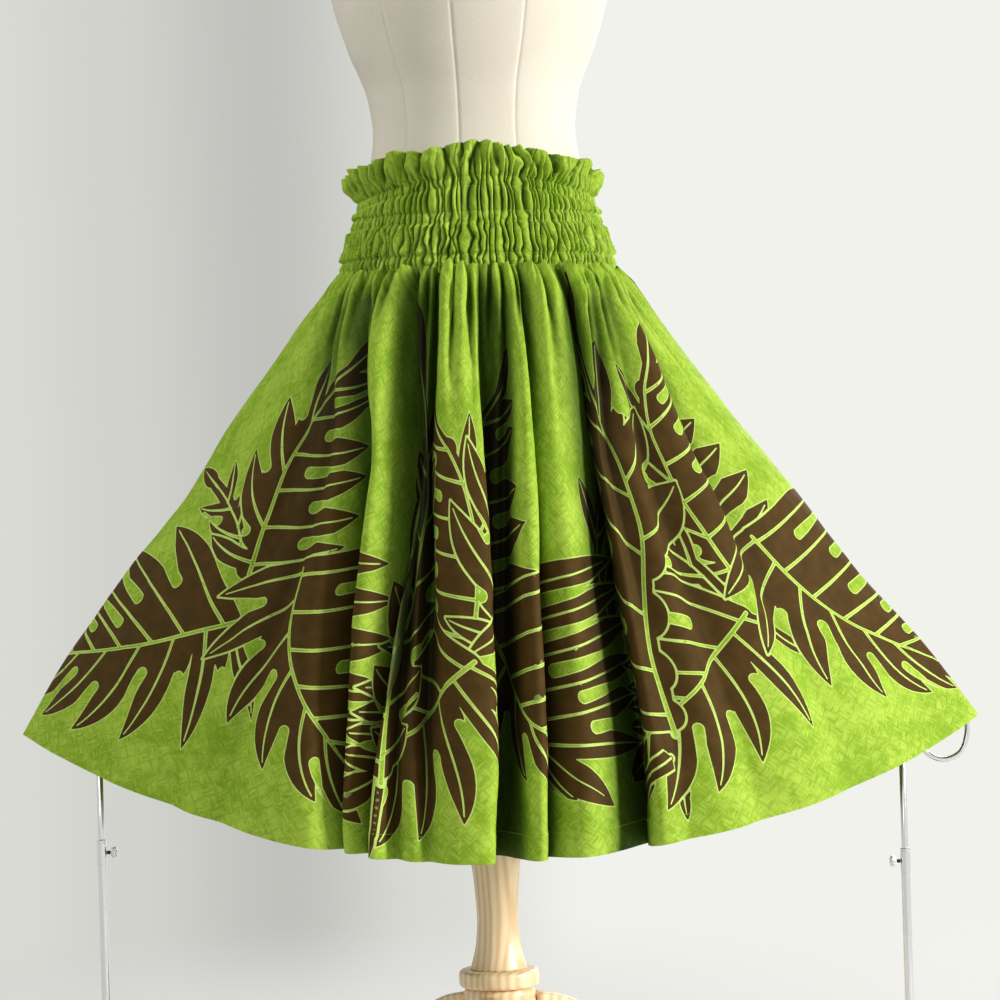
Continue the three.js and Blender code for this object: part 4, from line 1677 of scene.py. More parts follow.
@dataclass
class TurnedStand:
    """The form's stand: the neck's cap, the turned post, its collar, the hub and three sawn legs."""

    post: tuple[Pair, ...] = (
        (197.3, 30), (225, 23.5), (250, 21.7), (290, 24), (335, 29.5), (400, 32.5), (470, 29), (518, 25),
        (530, 33), (546, 33), (560, 22), (748, 22), (760, 30), (791.7, 30),
    )
    post_step: float = 1.8
    cap_low: float = 1484.3
    cap: tuple[float, float, float, float] = (0, 11, 48, 5)
    cap_neck: tuple[Pair, ...] = ((11.3, 20.0), (12.2, 14.0), (13.8, 11.6))
    cap_knob: tuple[Pair, ...] = ((16, 11), (29, 15.5), (42, 6.5))
    collar: tuple[float, float, float, float] = (178.3, 197.0, 42.5, 5.0)
    hub: tuple[float, float, float, float] = (92.0, 177.7, 38.0, 6.0)
    hub_lines: Pair = (104.0, 166.0)
    hub_line: tuple[Pair, ...] = ((-1.2, 0.0), (-0.5, 0.9), (0.5, 0.9), (1.2, 0.0))
    leg_count: int = 3
    leg_first: float = -101.0
    leg_thick: float = 30.0
    leg_round: float = 4.0
    leg_gap: float = 0.3
    leg_top: tuple[Pair, ...] = ((0, 170), (55, 168), (92, 116), (150, 40), (210, 28), (220, 22), (220, 0))
    leg_under: tuple[Pair, ...] = ((0, 104), (40, 110), (62, 100), (120, 14), (180, 0))

    def build(self) -> None:
        """Builds the wooden pieces and gives them their grain."""
        pine = [Pine().material()]
        tall = int((self.post[-1][0] - self.post[0][0]) / self.post_step)
        cap = beaded_disc(*self.cap) + list(self.cap_neck) + rounded_profile(self.cap_knob, 16)
        parts = (
            ("turned_post", rounded_profile(self.post, tall), "stand_post"),
            ("neck_cap_turned", [(self.cap_low + z, radius) for z, radius in cap], "neck_cap"),
            ("post_collar_turned", beaded_disc(*self.collar), "post_collar"),
            ("tripod_hub_turned", self.hub_profile(), "tripod_hub"),
        )
        for name, profile, node in parts:
            add_mesh(name, turned(profile), pine, (node,))
        points, faces = self.leg()
        for i in range(self.leg_count):
            c, s = cos_sin(self.leg_first + 360 / self.leg_count * i)
            spin = np.array([[c, s, 0], [-s, c, 0], [0, 0, 1]])
            node = f"tripod_leg_{i + 1}"
            add_mesh(f"{node}_sawn", (points @ spin, faces), pine, (node,))

    def hub_profile(self) -> list[Pair]:
        """Draws the hub's profile, with two fine turned lines.

        Returns:
            The heights and radii.
        """
        profile = beaded_disc(*self.hub)
        lines = [(z + up, self.hub[2] - sunk) for z in self.hub_lines for up, sunk in self.hub_line]
        return profile[:7] + lines + profile[7:]

    def leg(self) -> Net:
        """Lofts one leg from the hub to its foot, along +X.

        Returns:
            The points and the faces.
        """
        face, ease = self.hub[2] + self.leg_gap, self.leg_round
        sections = []
        for a, b in zip(self.follow(self.leg_top), self.follow(self.leg_under)):
            span = float(np.hypot(*(a - b)))
            up = (a - b) / max(span, 1e-6)
            ring = []
            for side, end in ((1, 1), (-1, 1), (-1, -1), (1, -1)):
                for k in np.linspace(-math.pi / 4, math.pi / 4, 4):
                    angle = math.atan2(end, side) + k
                    y = side * (self.leg_thick / 2 - ease) + ease * math.cos(angle)
                    middle = (a + b) / 2 + up * (end * (span / 2 - ease) + ease * math.sin(angle))
                    ring.append((face + middle[0], y, middle[1]))
            sections.append(ring)
        grid = np.array(sections)
        grid[..., 2] = np.maximum(grid[..., 2], 0.0)
        points, faces = capped_net(grid)
        return points, [face[::-1] for face in faces]  # because these rings run the first way round

    @staticmethod
    def follow(knots: Sequence[Pair]) -> Array:
        """Follows quadratic curves, each from an end over a bend to the next, and reads them evenly.

        Args:
            knots: ends and bends in turn.

        Returns:
            The points.
        """
        knots = np.array(knots, float)
        curves = [quadratic(*knots[k : k + 3], 24)[:-1] for k in range(0, len(knots) - 2, 2)]
        line = np.concatenate([*curves, knots[-1:]])
        run = run_of(line)
        return read_along(line, run, np.linspace(0, run[-1], 40))


# ---- the hook stands ----


class Side(Enum):
    """Which side of the skirt a hook stand is on."""

    RIGHT = 1
    LEFT = -1


def centripetal(points: Array, per_span: int = 14) -> Array:
    """Follows a smooth curve through points, eased so that it keeps clear of loops.

    Args:
        points: the points that it goes through.
        per_span: how many steps it takes between two of them.

    Returns:
        The curve's points.
    """
    ends = [2 * points[0] - points[1], *points, 2 * points[-1] - points[-2]]
    line = []
    for p0, p1, p2, p3 in zip(ends[:-3], ends[1:-2], ends[2:-1], ends[3:]):
        sides = ((p0, p1), (p1, p2), (p2, p3))
        d0, d1, d2 = (max(float(np.linalg.norm(b - a)) ** 0.5, 1e-4) for a, b in sides)
        m1 = ((p1 - p0) / d0 - (p2 - p0) / (d0 + d1) + (p2 - p1) / d1) * d1
        m2 = ((p2 - p1) / d1 - (p3 - p1) / (d1 + d2) + (p3 - p2) / d2) * d1
        c2, c3 = -3 * p1 + 3 * p2 - 2 * m1 - m2, 2 * p1 - 2 * p2 + m1 + m2
        line += [p1 + m1 * t + c2 * t * t + c3 * t**3 for t in np.linspace(0, 1, per_span, endpoint=False)]
    return np.array([*line, points[-1]])


def tube(line: Array, radii: Array, sides: int = 14) -> Net:
    """Sweeps a round section along a line in the X-Z plane and closes its ends.

    Args:
        line: the line's points.
        radii: the section's radius at each of them.
        sides: how many sides the section has.

    Returns:
        The points and the faces.
    """
    across = np.tile(np.array([0.0, 1.0, 0.0]), (len(line), 1))
    up = np.cross(unit(np.gradient(line, axis=0)), across)
    angle = full_turn(sides)[None, :, None]
    return capped_net(
        line[:, None] + radii[:, None, None] * (np.cos(angle) * across[:, None] + np.sin(angle) * up[:, None])
    )


@dataclass
class HookStand:
    """A telescopic stand on a round base, whose hook carries one corner of the hem."""

    side: Side
    x: float
    sleeve_z: float
    bend_z: float
    hook_x: float
    tip_z: float
    base: Triple = (105.0, 9.0, 3.0)
    base_rise: tuple[Pair, ...] = ((7.9, 40.0), (8.4, 14.0))
    sleeve_radius: float = 5.2
    rod_radius: float = 3.6
    wire_radius: float = 2.8
    gap: float = 0.3
    knob_drop: float = 14.0
    hook_radius: float = 25.0
    crook_radius: float = 11.0
    crook_rise: float = 30.0
    overlap: float = 14.0
    knob: tuple[Triple, ...] = (
        (4.0, 2.2, 0), (4.0, 4.2, 0), (4.6, 5.2, 0.6), (6.0, 5.8, 1), (9.2, 5.8, 1), (10.4, 5.0, 0.6),
        (11.0, 3.6, 0),
    )
    knob_ribs: int = 9
    knob_columns: int = 72
    screw: tuple[Pair, ...] = ((0.05, 1.9), (3.9, 1.9), (3.95, 3.2))
    crisp: float = 32.0

    @property
    def label(self) -> str:
        """The stand's side as the parts are named."""
        return self.side.name.lower()

    def hook_line(self) -> Array:
        """Draws the hook wire: over the upright's top, down, and up again in a J.

        Returns:
            The points of the wire's middle line.
        """
        bowl_z = self.bend_z + self.hook_radius
        crook_z = bowl_z + self.crook_rise
        half = (self.hook_x - self.hook_radius - self.x) / 2
        knots = [(self.x, crook_z - self.overlap)]
        for x, z, wide, high, angles in (
            (self.x + half, crook_z, half, self.crook_radius, (180, 90, 0)),
            (self.hook_x, bowl_z, self.hook_radius, self.hook_radius, (180, 225, 270, 315, 360)),
        ):
            knots += [(x + wide * c, z + high * s) for c, s in map(cos_sin, angles)]
        knots.append((self.hook_x + self.hook_radius, self.tip_z))
        return centripetal(np.array([(self.side.value * x, 0.0, z) for x, z in knots]))

    def build(self, chrome: Material, plastic: Material, steel: Material) -> None:
        """Builds the stand's pieces.

        Args:
            chrome: the finish of its tubes.
            plastic: the finish of its grip.
            steel: the finish of its screw.
        """
        hook = self.hook_line()
        radius, high, ease = self.base
        r, mouth, rod_end = self.sleeve_radius, self.sleeve_z, float(hook[0, 2]) - self.gap
        base = beaded_disc(0, high - 1.6, radius, ease)
        base += [(high - 1.5, radius - 12), *self.base_rise, (high - 0.2, 9.0), (high, 8.4)]
        foot = [(high + up, r - less) for up, less in ((0.3, 0), (6, 0), (6.3, 0.5))]
        lips = (
            (26, 0.5), (25.6, 0), (4.4, 0), (4, 0.45), (3, 0.45), (2.6, 0), (0.7, 0), (0, 0.6),
        )  # how far below the mouth, and how far in
        thick = self.rod_radius
        rod = [(mouth + self.gap, thick), (rod_end - 1.2, thick), (rod_end, thick - 0.7)]
        for part, profile, columns in (
            ("base", base, 96), ("sleeve", foot + [(mouth - down, r - less) for down, less in lips], 28),
            ("rod", rod, 28),
        ):
            points, faces = turned(profile, columns)
            points = points + np.array([self.side.value * self.x, 0, 0])
            piece = self.part(part, "plated", (points, faces), "chrome", chrome)
            piece.data.set_sharp_from_angle(angle=math.radians(self.crisp))
        run = run_of(hook)
        short = np.clip(1 - (run[-1] - run) / self.wire_radius, 0, 1)
        net = tube(hook, self.wire_radius * np.sqrt(np.clip(1 - short**2, 0.02, 1)))
        self.part("hook", "plated", net, "chrome", chrome)
        self.build_knob(plastic, steel)

    def part(self, node: str, ending: str, net: Net, slot: str, finish: Material) -> Piece:
        """Adds the piece that stands for one of the stand's nodes."""
        return add_mesh(f"{self.label}_{node}_{ending}", net, [finish], (f"{self.label}_stand_{node}",))

    def build_knob(self, plastic: Material, steel: Material) -> None:
        """Builds the ribbed thumb grip and the screw in it.

        Args:
            plastic: the grip's finish.
            steel: the screw's finish.
        """
        angle = full_turn(self.knob_columns)
        grid = []
        for out, r, rib in self.knob:
            wave = r * (1 - 0.07 * rib * (0.5 - 0.5 * np.cos(self.knob_ribs * angle)))
            ring = [wave * np.cos(angle), wave * np.sin(angle), np.full(len(angle), out)]
            grid.append(np.stack(ring, axis=-1))
        grip, screw = self.laid(fanned_net(np.array(grid))), self.laid(turned(self.screw, 24))
        add_mesh(f"{self.label}_grip", grip, [plastic], (f"{self.label}_stand_knob",))
        add_mesh(f"{self.label}_screw", screw, [steel])

    def laid(self, net: Net) -> Net:
        """Lays a part that was turned upright on its side, pointing in from the sleeve.

        Args:
            net: the part, upright.

        Returns:
            The part in its place.
        """
        points, faces = net
        side = self.side.value
        foot = np.array([side * (self.x - self.sleeve_radius - self.gap), 0, self.sleeve_z - self.knob_drop])
        return np.stack([-side * points[:, 2], -side * points[:, 1], points[:, 0]], axis=-1) + foot, faces


# ---- the studio ----


@dataclass(frozen=True)
class SoftBox:
    """One soft box: its place and aim in metres, its size, power in watts, tint and spread."""

    name: str
    place: Triple
    aim: Triple
    size: Pair
    power: float
    tint: Colour = (1.0, 1.0, 1.0)
    spread: float = 180.0

    def hang(self) -> None:
        """Hangs the box."""
        lamp = bpy.data.lights.new(self.name, "AREA")
        lamp.shape, lamp.size, lamp.size_y = "RECTANGLE", *self.size
        lamp.energy, lamp.color, lamp.spread = self.power, self.tint, math.radians(self.spread)
        box = bpy.data.objects.new(self.name, lamp)
        box.location = self.place
        box.rotation_euler = (Vector(self.aim) - Vector(self.place)).to_track_quat("-Z", "Y").to_euler()
        bpy.context.scene.collection.objects.link(box)


@dataclass
class Studio:
    """The pale floor and air, the soft lights and the camera, in metres and degrees."""

    camera_away: float = 3.5
    camera_x: float = 0.016
    camera_z: float = 0.693
    field_wide: float = 1.060
    sensor: float = 36.0
    roll: float = 1.72
    floor_plain: float = 0.8
    floor_reach: float = 2.2
    floor_drop: float = 0.0005
    paper: tuple[Colour, Colour] = ((0.84, 0.84, 0.83), (0.81, 0.81, 0.80))
    air_tint: Colour = (1.0, 1.003, 0.95)
    # The greys that camera rays see across the view: painted light, darker on the left and brighter on the
    # right, with a painted shadow of the form as a dip left of it.
    seen: tuple[Pair, ...] = (
        (0.03, 0.70), (0.14, 0.645), (0.29, 0.535), (0.43, 0.70), (0.58, 0.885), (1.0, 0.885),
    )
    seen_reach: float = 0.16
    lit: tuple[Pair, ...] = ((0.0, 0.20), (1.0, 0.24))
    lit_reach: float = 0.9
    boxes: tuple[SoftBox, ...] = (
        SoftBox("key_right", (3.72, -1.45, 1.5), (0.0, 0.0, 0.72), (0.7, 1.1), 200, (1.0, 0.985, 0.96)),
        SoftBox("fill_front", (-1.6, -3.6, 1.2), (0.0, 0.0, 0.6), (1.6, 1.6), 17),
        SoftBox("top", (-1.5, -0.9, 3.0), (0.0, 0.0, 0.6), (1.4, 1.2), 34),
        SoftBox("rear", (1.4, 3.4, 1.9), (0.0, 0.0, 0.7), (1.6, 1.6), 60),
        SoftBox("form_left", (-2.2, -1.9, 1.9), (0.0, 0.0, 1.42), (0.5, 0.5), 0.08, spread=15),
    )

    def floor(self) -> None:
        """Lays a pale floor that fades out into the pale air round it."""
        edge = [(self.floor_reach * math.cos(a), self.floor_reach * math.sin(a), 0.0) for a in full_turn(72)]
        mesh = bpy.data.meshes.new("studio_floor")
        mesh.from_pydata(edge, [], [list(range(len(edge)))])
        floor = bpy.data.objects.new("studio_floor", mesh)
        floor.location = (0.0, 0.0, -self.floor_drop)
        bpy.context.scene.collection.objects.link(floor)
        board = FinishBoard("studio_paper")
        place = board.here()
        colour = board.mix(board.noise(place, 1.3), *self.paper)
        board.set(base_color=colour, roughness=0.9, specular_ior_level=0.1)
        away = board.node("VectorMath", {0: place}, operation="LENGTH").outputs["Value"]
        fade = board.ramp(away, self.floor_plain, self.floor_reach * 0.98)
        clear = board.node("BsdfTransparent").outputs["BSDF"]
        blend = board.node("MixShader", {0: fade, 1: board.shader.outputs["BSDF"], 2: clear})
        board.feed(board.output.inputs["Surface"], blend.outputs["Shader"])
        mesh.materials.append(board.material)

    def air(self) -> None:
        """Sets the pale air: bright to look at, dimmer as light, with painted light brighter on the right
        than on the left and a painted shadow of the form in what is looked at.
        """
        world = bpy.data.worlds.new("studio_air")
        world.use_nodes = True
        board = NodeBoard(world.node_tree)
        where = board.node("TexCoord").outputs["Generated"]
        across = board.node("SeparateXYZ", {0: where}).outputs[0]
        shades = []
        for reach, stops in ((self.lit_reach, self.lit), (self.seen_reach, self.seen)):
            share = board.node("MapRange", {"Value": across, "From Min": -reach, "From Max": reach})
            ramp = board.node("ValToRGB", {"Fac": share.outputs["Result"]})
            ramp.color_ramp.interpolation = "EASE"
            for _ in stops[2:]:
                ramp.color_ramp.elements.new(0.5)
            for element, (at, grey) in zip(ramp.color_ramp.elements, stops):
                element.position, element.color = at, (*(grey * tint for tint in self.air_tint), 1.0)
            shades.append(board.node("Background", {"Color": ramp.outputs["Color"]}).outputs[0])
        path = board.node("LightPath").outputs
        looked = board.math("MAXIMUM", path["Is Camera Ray"], path["Is Glossy Ray"])
        choose = board.node("MixShader", {0: looked, 1: shades[0], 2: shades[1]})
        board.node("OutputWorld", {"Surface": choose.outputs[0]})
        bpy.context.scene.world = world

    def build(self) -> None:
        """Sets up the floor, the air, the lights and the camera."""
        self.floor()
        self.air()
        for box in self.boxes:
            box.hang()
        bpy.context.scene.view_settings.view_transform = "Standard"
        camera = bpy.data.cameras.new("camera")
        camera.sensor_width = self.sensor
        camera.lens = self.sensor * self.camera_away / self.field_wide
        eye = bpy.data.objects.new("camera", camera)
        eye.location = (self.camera_x, -self.camera_away, self.camera_z)
        eye.rotation_euler = (math.pi / 2, math.radians(self.roll), 0)
        bpy.context.scene.collection.objects.link(eye)
        bpy.context.scene.camera = eye


# ---- the shirred waist ----


@dataclass
class GatherNet:
    """Uneven gathers round the waist: ridges up through every band, wide in one and pinched in the next."""

    around: float
    count: int
    levels: tuple[float, ...]
    spread: tuple[float, ...]
    seed: int
    wander: float = 1.7
    valleys: Array = field(init=False)
    crests: Array = field(init=False)
    leans: Array = field(init=False)

    def __post_init__(self) -> None:
        """Lays the valleys out at each level."""
        random = np.random.default_rng(self.seed)
        mean = self.around / self.count
        even, rows = mean * np.arange(1, self.count + 1), []
        lasting = random.lognormal(0, 0.25, self.count)
        for spread in self.spread:
            widths = lasting * random.lognormal(0, spread, self.count)
            drift = np.cumsum(widths / widths.mean() - 1)
            drift -= blurred(drift[None], self.wander, axis=1, ring=True)[0]
            gaps = np.maximum(np.diff(drift, prepend=drift[-1]) + 1, 0.4)
            shift = np.cumsum(gaps * self.around / gaps.sum()) - even
            shift -= blurred(shift[None], 2.5 * self.wander, axis=1, ring=True)[0]
            rows.append(even + shift + random.uniform(-0.1, 0.1) * mean)
        self.valleys = np.array(rows)
        self.crests = random.uniform(0.55, 1.0, (len(rows), self.count + 1))
        self.crests[:, -1] = self.crests[:, 0]
        self.leans = random.uniform(0.72, 1.4, self.count + 1)
        self.leans[-1] = self.leans[0]

    def height(self, level: Array, place: Array) -> Array:
        """Reads the gathers' height, from 0 in a valley to about 1 on a crest.

        Args:
            level: the height of each row of points.
            place: each point's way round the waist, by row and column.

        Returns:
            The height of each point.
        """
        found = np.zeros(place.shape)
        for i, z in enumerate(level):
            valleys, crests = (read_along(table, self.levels, z) for table in (self.valleys, self.crests))
            line = np.concatenate([[valleys[-1] - self.around], valleys])
            at = np.mod(place[i] - line[0], self.around) + line[0]
            k = np.clip(np.searchsorted(line, at, side="right") - 1, 0, self.count - 1)
            gap = np.maximum(line[k + 1] - line[k], 0.6)
            part = np.clip((at - line[k]) / gap, 0, 1) ** self.leans[k]
            found[i] = crests[k] * np.minimum(1.0, (gap / 4.5) ** 0.8) * np.sin(math.pi * part) ** 0.55
        return found


@dataclass(frozen=True)
class WaistLevel:
    """One level of the casing, by its height at the sides: its half width and its rise in the middle."""

    z: float
    outer: float
    rise: float


class Channel(Enum):
    """The elastic channels, by their lowest and highest height at the sides."""

    TOP = (1000.0, 1011.0)
    MIDDLE = (980.0, 992.0)
    LOWEST = (936.0, 948.0)


@dataclass
class ShirredWaist:
    """The waist, one piece of cloth: three elastic channels, two puffs and the ruffle folded over."""

    levels: tuple[WaistLevel, ...] = (
        WaistLevel(930, 149, 0), WaistLevel(936, 148, 0), WaistLevel(948, 145, 0), WaistLevel(980, 136, 0),
        WaistLevel(992, 132, 0), WaistLevel(1000, 128, 17), WaistLevel(1011, 126, 18),
        WaistLevel(1037, 131, 22),
    )
    columns: int = 1150
    around: float = 800.0
    seed: int = 21
    row_plan: tuple[tuple[float, float, int], ...] = (
        (928.5, 936, 3), (936, 948, 8), (948, 980, 17), (980, 992, 8), (992, 1000, 10), (1000, 1011, 8),
        (1011, 1036.2, 13),
    )
    ruffle: Pair = (1009, 1026)
    foot: Pair = (937.5, 933.5)
    flute: float = 8.0
    fold: float = 1.0
    fold_rows: int = 5
    count: int = 128
    flutes: int = 44
    knots: tuple[float, ...] = (931.5, 942, 951, 964, 977, 986, 996, 1005, 1012, 1022, 1037)
    unevenness: tuple[float, ...] = (0.35, 0.3, 0.45, 0.7, 0.45, 0.3, 0.7, 0.35, 0.4, 0.6, 0.7)
    flute_knots: Triple = (1009, 1022, 1037)
    flute_unevenness: Triple = (0.3, 0.4, 0.5)
    front_share: float = 0.28
    clear: float = 0.9
    form_gap: float = 0.75
    sink: Pair = (6.6, 6.0)
    rise: Pair = (3.8, 0.2)
    foot_in: float = 3.5
    flute_share: float = 0.85
    groove: Pair = (1.3, 1.3)
    radius: float = 130.0
    hem_in: int = 9
    hem_in_rows: int = 15
    flat: Pair = (1.5, 0.15)  # in metres
    stitch_in: float = 0.9
    stitch_pitch: float = 3.1
    stitch_long: float = 2.2
    grid: Array = field(init=False)
    # painted shade in the gathers' valleys, by point
    tucks: Array = field(init=False)

    def heights(self) -> Array:
        """Lists the rows' heights at the sides."""
        rows = [np.linspace(low, high, count, endpoint=False) for low, high, count in self.row_plan]
        return np.concatenate([*rows, [self.row_plan[-1][1]]])

    def stand_off(self, side_z: Array, angle: Array) -> tuple[Array, Array]:
        """Finds the true height of each point, and how far the smooth casing stands off the form there.

        Args:
            side_z: the points' heights as they would be at the sides.
            angle: their angles.

        Returns:
            The true heights and the distances off the form.
        """
        known = [level.z for level in self.levels]
        outer = np.interp(side_z, known, [level.outer for level in self.levels])
        rise = smooth_curve(known, [level.rise for level in self.levels], side_z)
        z = side_z + rise * np.sin(angle) ** 2
        return z, outer - form_size(z)[0]

    def turns(self) -> Array:
        """Lists the columns' angles, closer together in front.

        Returns:
            The angles.
        """
        turn = np.linspace(0, 2 * math.pi, 4001)
        run = summed(1 / (1 + self.front_share * np.sin(0.5 * (turn[1:] + turn[:-1]))))
        return np.interp(np.arange(self.columns) / self.columns * run[-1], run, turn)

    def shape(self) -> None:
        """Works out the casing's rows, from the lowest over the top and down inside, and the shade painted
        into its gathers.
        """
        side_z, angle = self.heights(), self.turns()
        zz, aa = side_z[:, None] + 0 * angle[None], angle[None] + 0 * side_z[:, None]
        arc = aa / (2 * math.pi) * self.around
        z, spread = self.stand_off(zz, aa)
        sway, fine = WaveNoise(self.seed, 12, 60, stretch=2.0), WaveNoise(self.seed + 1, 6, 14, stretch=1.6)
        place = arc + 0.8 * sway(arc, zz) + 0.4 * fine(arc, zz)
        net = GatherNet(self.around, self.count, self.knots, self.unevenness, self.seed)
        broad = GatherNet(self.around, self.flutes, self.flute_knots, self.flute_unevenness, self.seed + 5)
        flutes = 1.12 * blurred(broad.height(side_z, place), 1.8, axis=1, ring=True)
        ruffle, channel = smooth_step(*self.ruffle, zz), self.channel_share(zz)
        fluted = self.flute_share * ruffle
        total = net.height(side_z, place) * (1 - fluted) + fluted * flutes
        lows = [np.maximum(self.clear, spread - sink) for sink in self.sink]
        highs = [spread + rise for rise in self.rise]
        low, high = (puff * (1 - channel) + held * channel for puff, held in (lows, highs))
        foot = smooth_step(*self.foot, zz)
        high = high * (1 - foot) + (spread - self.foot_in) * foot
        leftward = np.clip(-np.cos(aa), 0, 1) ** 3 * smooth_step(0.6, -0.4, np.sin(aa))
        lean = WaveNoise(self.seed + 12, 40, 160)
        leaning = lean(arc, 0 * arc)
        off = low + np.maximum(high - low, 0.4) * total
        off -= self.groove[0] * self.stitch_grooves(zz)
        flare = (self.flute - 2.5 * np.abs(np.cos(aa)) ** 3) * (total - 0.45)
        off += ruffle * (flare + 2.0 + 4.5 * leftward * ruffle + 1.2 * leaning)
        z = z + ruffle * (2.2 * (total - 0.5) + 2.4 * lean(arc * 0.9 + 40, 0 * arc) - 3.0 * leftward)
        tangent = ruffle * 1.2 * np.sin(2 * math.pi * arc / 23.0 + 3.0 * leaning)
        outer = oval(aa + tangent / self.radius, z, np.maximum(off, self.clear))
        self.grid = kept_off_form(np.concatenate([outer, *self.folded_in(outer)]), self.form_gap)
        # Painted shade: darker in the valleys between gathers, the top row's kept for the fold and the rows
        # inside.
        tucks = smooth_step(0.76, 0.2, total)
        self.tucks = np.concatenate([tucks, np.repeat(tucks[-1:], self.fold_rows + self.hem_in, axis=0)])

    def folded_in(self, outer: Array) -> tuple[Array, Array]:
        """Folds the cloth over at the top of the ruffle and brings it down inside.

        Args:
            outer: the outside's points by row and column.

        Returns:
            The rows of the bend and the rows inside, both from the outside on.
        """
        top_out = unit(outer[-1] - outer[-2])
        along = np.roll(outer[-1], -1, axis=0) - np.roll(outer[-1], 1, axis=0)
        inward = unit(np.cross(top_out, along))
        inward *= -np.sign((inward[:, :2] * outer[-1][:, :2]).sum(axis=1, keepdims=True))
        bend = [
            outer[-1] + self.fold * (1 - math.cos(a)) * inward + self.fold * math.sin(a) * top_out
            for a in np.linspace(0, math.pi, self.fold_rows + 1)[1:]
        ]
        down = []
        for share in np.arange(1, self.hem_in + 1) / self.hem_in:
            ring = outer[int(round(len(outer) - 1 - share * self.hem_in_rows))]
            down.append(ring - unit(ring * (1, 1, 0)) * 2 * self.fold * (1 - 0.35 * share))
        return np.array(bend), np.array(down)

    def channel_share(self, side_z: Array) -> Array:
        """Tells how far a height belongs to an elastic channel.

        Args:
            side_z: the heights as they would be at the sides.

        Returns:
            The shares, from 0 to 1.
        """
        return np.maximum.reduce(
            [smooth_step(low - 2.5, low + 0.5, side_z) * smooth_step(high + 2.5, high - 0.5, side_z)
             for low, high in (channel.value for channel in Channel)]
        )

    def stitch_heights(self) -> list[float]:
        """Lists the heights of the stitch lines, two to each channel."""
        sides = [channel.value for channel in Channel]
        return [z for low, high in sides for z in (low + self.stitch_in, high - self.stitch_in)]

    def stitch_grooves(self, side_z: Array) -> Array:
        """Finds how deep the stitch lines pull the cloth in."""
        return sum(np.exp(-(((side_z - z) / self.groove[1]) ** 2)) for z in self.stitch_heights())

    def build(self, finish: Material) -> None:
        """Builds the waist piece.

        Args:
            finish: the cotton's ground, as a finish.
        """
        self.shape()
        channels = [f"elastic_channel_{k}" for k in (1, 2, 3)]
        nodes = (*channels, "waist_puff_1", "waist_puff_2", "ruffle_header")
        piece = add_mesh("shirred_waist", ring_net(self.grid), [finish], nodes)
        side_z = self.heights()
        up = side_z - side_z[0]
        inside = 112 + np.arange(1, self.hem_in + 1) * 1.9
        run = np.concatenate([up, up[-1] + np.linspace(0.7, 4, self.fold_rows), inside])
        around = run_of(self.grid[40]) * 0.8
        cut = np.stack(np.broadcast_arrays(around[None], run[:, None]), axis=-1).reshape(-1, 2)
        # The cut's places go with the painted shade of the gathers.
        add_cut_map(piece, cut, self.tucks.ravel())

    def stitch(self, finish: Material) -> None:
        """Sews the two rows of stitches along each channel.

        Args:
            finish: the thread's finish.
        """
        side_z = self.heights()
        ring = np.concatenate([self.grid, self.grid[:, :1]], axis=1)[: len(side_z)]
        normals, columns = grid_normals(ring, ring=True), np.arange(self.columns + 1, dtype=float)
        laid = []
        for z in self.stitch_heights():
            row = np.full(len(columns), np.interp(z, side_z, np.arange(len(side_z))))
            line = blurred(sampled(ring, row, columns)[None], 1.5, axis=1)[0]
            run, up = run_of(line), sampled(normals, row, columns)
            at = np.arange(0.5, run[-1] - 3, self.stitch_pitch)
            ends = [read_along(line, run, place) for place in (at, at + self.stitch_long)]
            laid.append([*ends, read_along(up, run, at + self.stitch_long / 2)])
        starts, ends, ups = (np.concatenate(rows) for rows in zip(*laid))
        Stitching("channel_stitches").build(starts, ends, unit(ups), finish)


# ---- the print's own leaves ----

SWEPT = Frond(
    spine=((0, 0), (-60, 30), (-125, 62), (-190, 86), (-250, 104)),
    right=(
        Lobe(0.05, 190, 66, 26, 46), Lobe(0.22, 200, 52, 16, 44), Lobe(0.38, 185, 46, 14, 43),
        Lobe(0.54, 150, 43, 14, 40), Lobe(0.70, 120, 40, 14, 36), Lobe(0.86, 86, 36, 12, 30),
    ),
    left=(
        Lobe(0.03, 122, 118, 28, 20), Lobe(0.12, 136, 88, 26, 28), Lobe(0.27, 134, 76, 40, 37),
        Lobe(0.44, 132, 66, 42, 38), Lobe(0.62, 124, 58, 40, 38), Lobe(0.80, 104, 48, 34, 34),
    ),
)
FANNED = Frond(
    spine=((0, 0), (14, 40), (34, 82), (64, 124), (102, 160), (128, 184)),
    right=(
        Lobe(0.02, 110, 92, 16, 34), Lobe(0.15, 128, 78, 22, 36), Lobe(0.31, 124, 68, 40, 37),
        Lobe(0.49, 116, 60, 46, 37), Lobe(0.68, 108, 48, 44, 35), Lobe(0.86, 92, 34, 30, 32),
    ),
    left=(
        Lobe(0.03, 205, 84, 12, 42), Lobe(0.21, 210, 78, 8, 43), Lobe(0.39, 206, 68, 6, 43),
        Lobe(0.57, 186, 56, 6, 42), Lobe(0.75, 160, 47, 8, 38), Lobe(0.90, 124, 36, 6, 32),
    ),
    tip=38,
    slits=(4.2, 1.5),
)
WIDE_FAN = replace(FANNED, left=tuple(replace(lobe, length=1.55 * lobe.length) for lobe in FANNED.left))
UPRIGHT = Frond(
    spine=((0, 0), (-10, -55), (-12, -110), (-2, -165), (24, -212), (58, -240)),
    left=(
        Lobe(0.05, 84, 74, 18, 24), Lobe(0.20, 112, 46, 22, 38), Lobe(0.44, 96, 38, 18, 34),
        Lobe(0.66, 84, 34, 16, 28),
    ),
    right=(
        Lobe(0.04, 140, 88, 6, 40), Lobe(0.20, 152, 86, 6, 44), Lobe(0.36, 146, 84, 8, 43),
        Lobe(0.52, 132, 76, 12, 42), Lobe(0.68, 112, 60, 16, 38), Lobe(0.84, 92, 46, 20, 32),
    ),
    tip=32,
    slits=(1.5, 3.0),
)
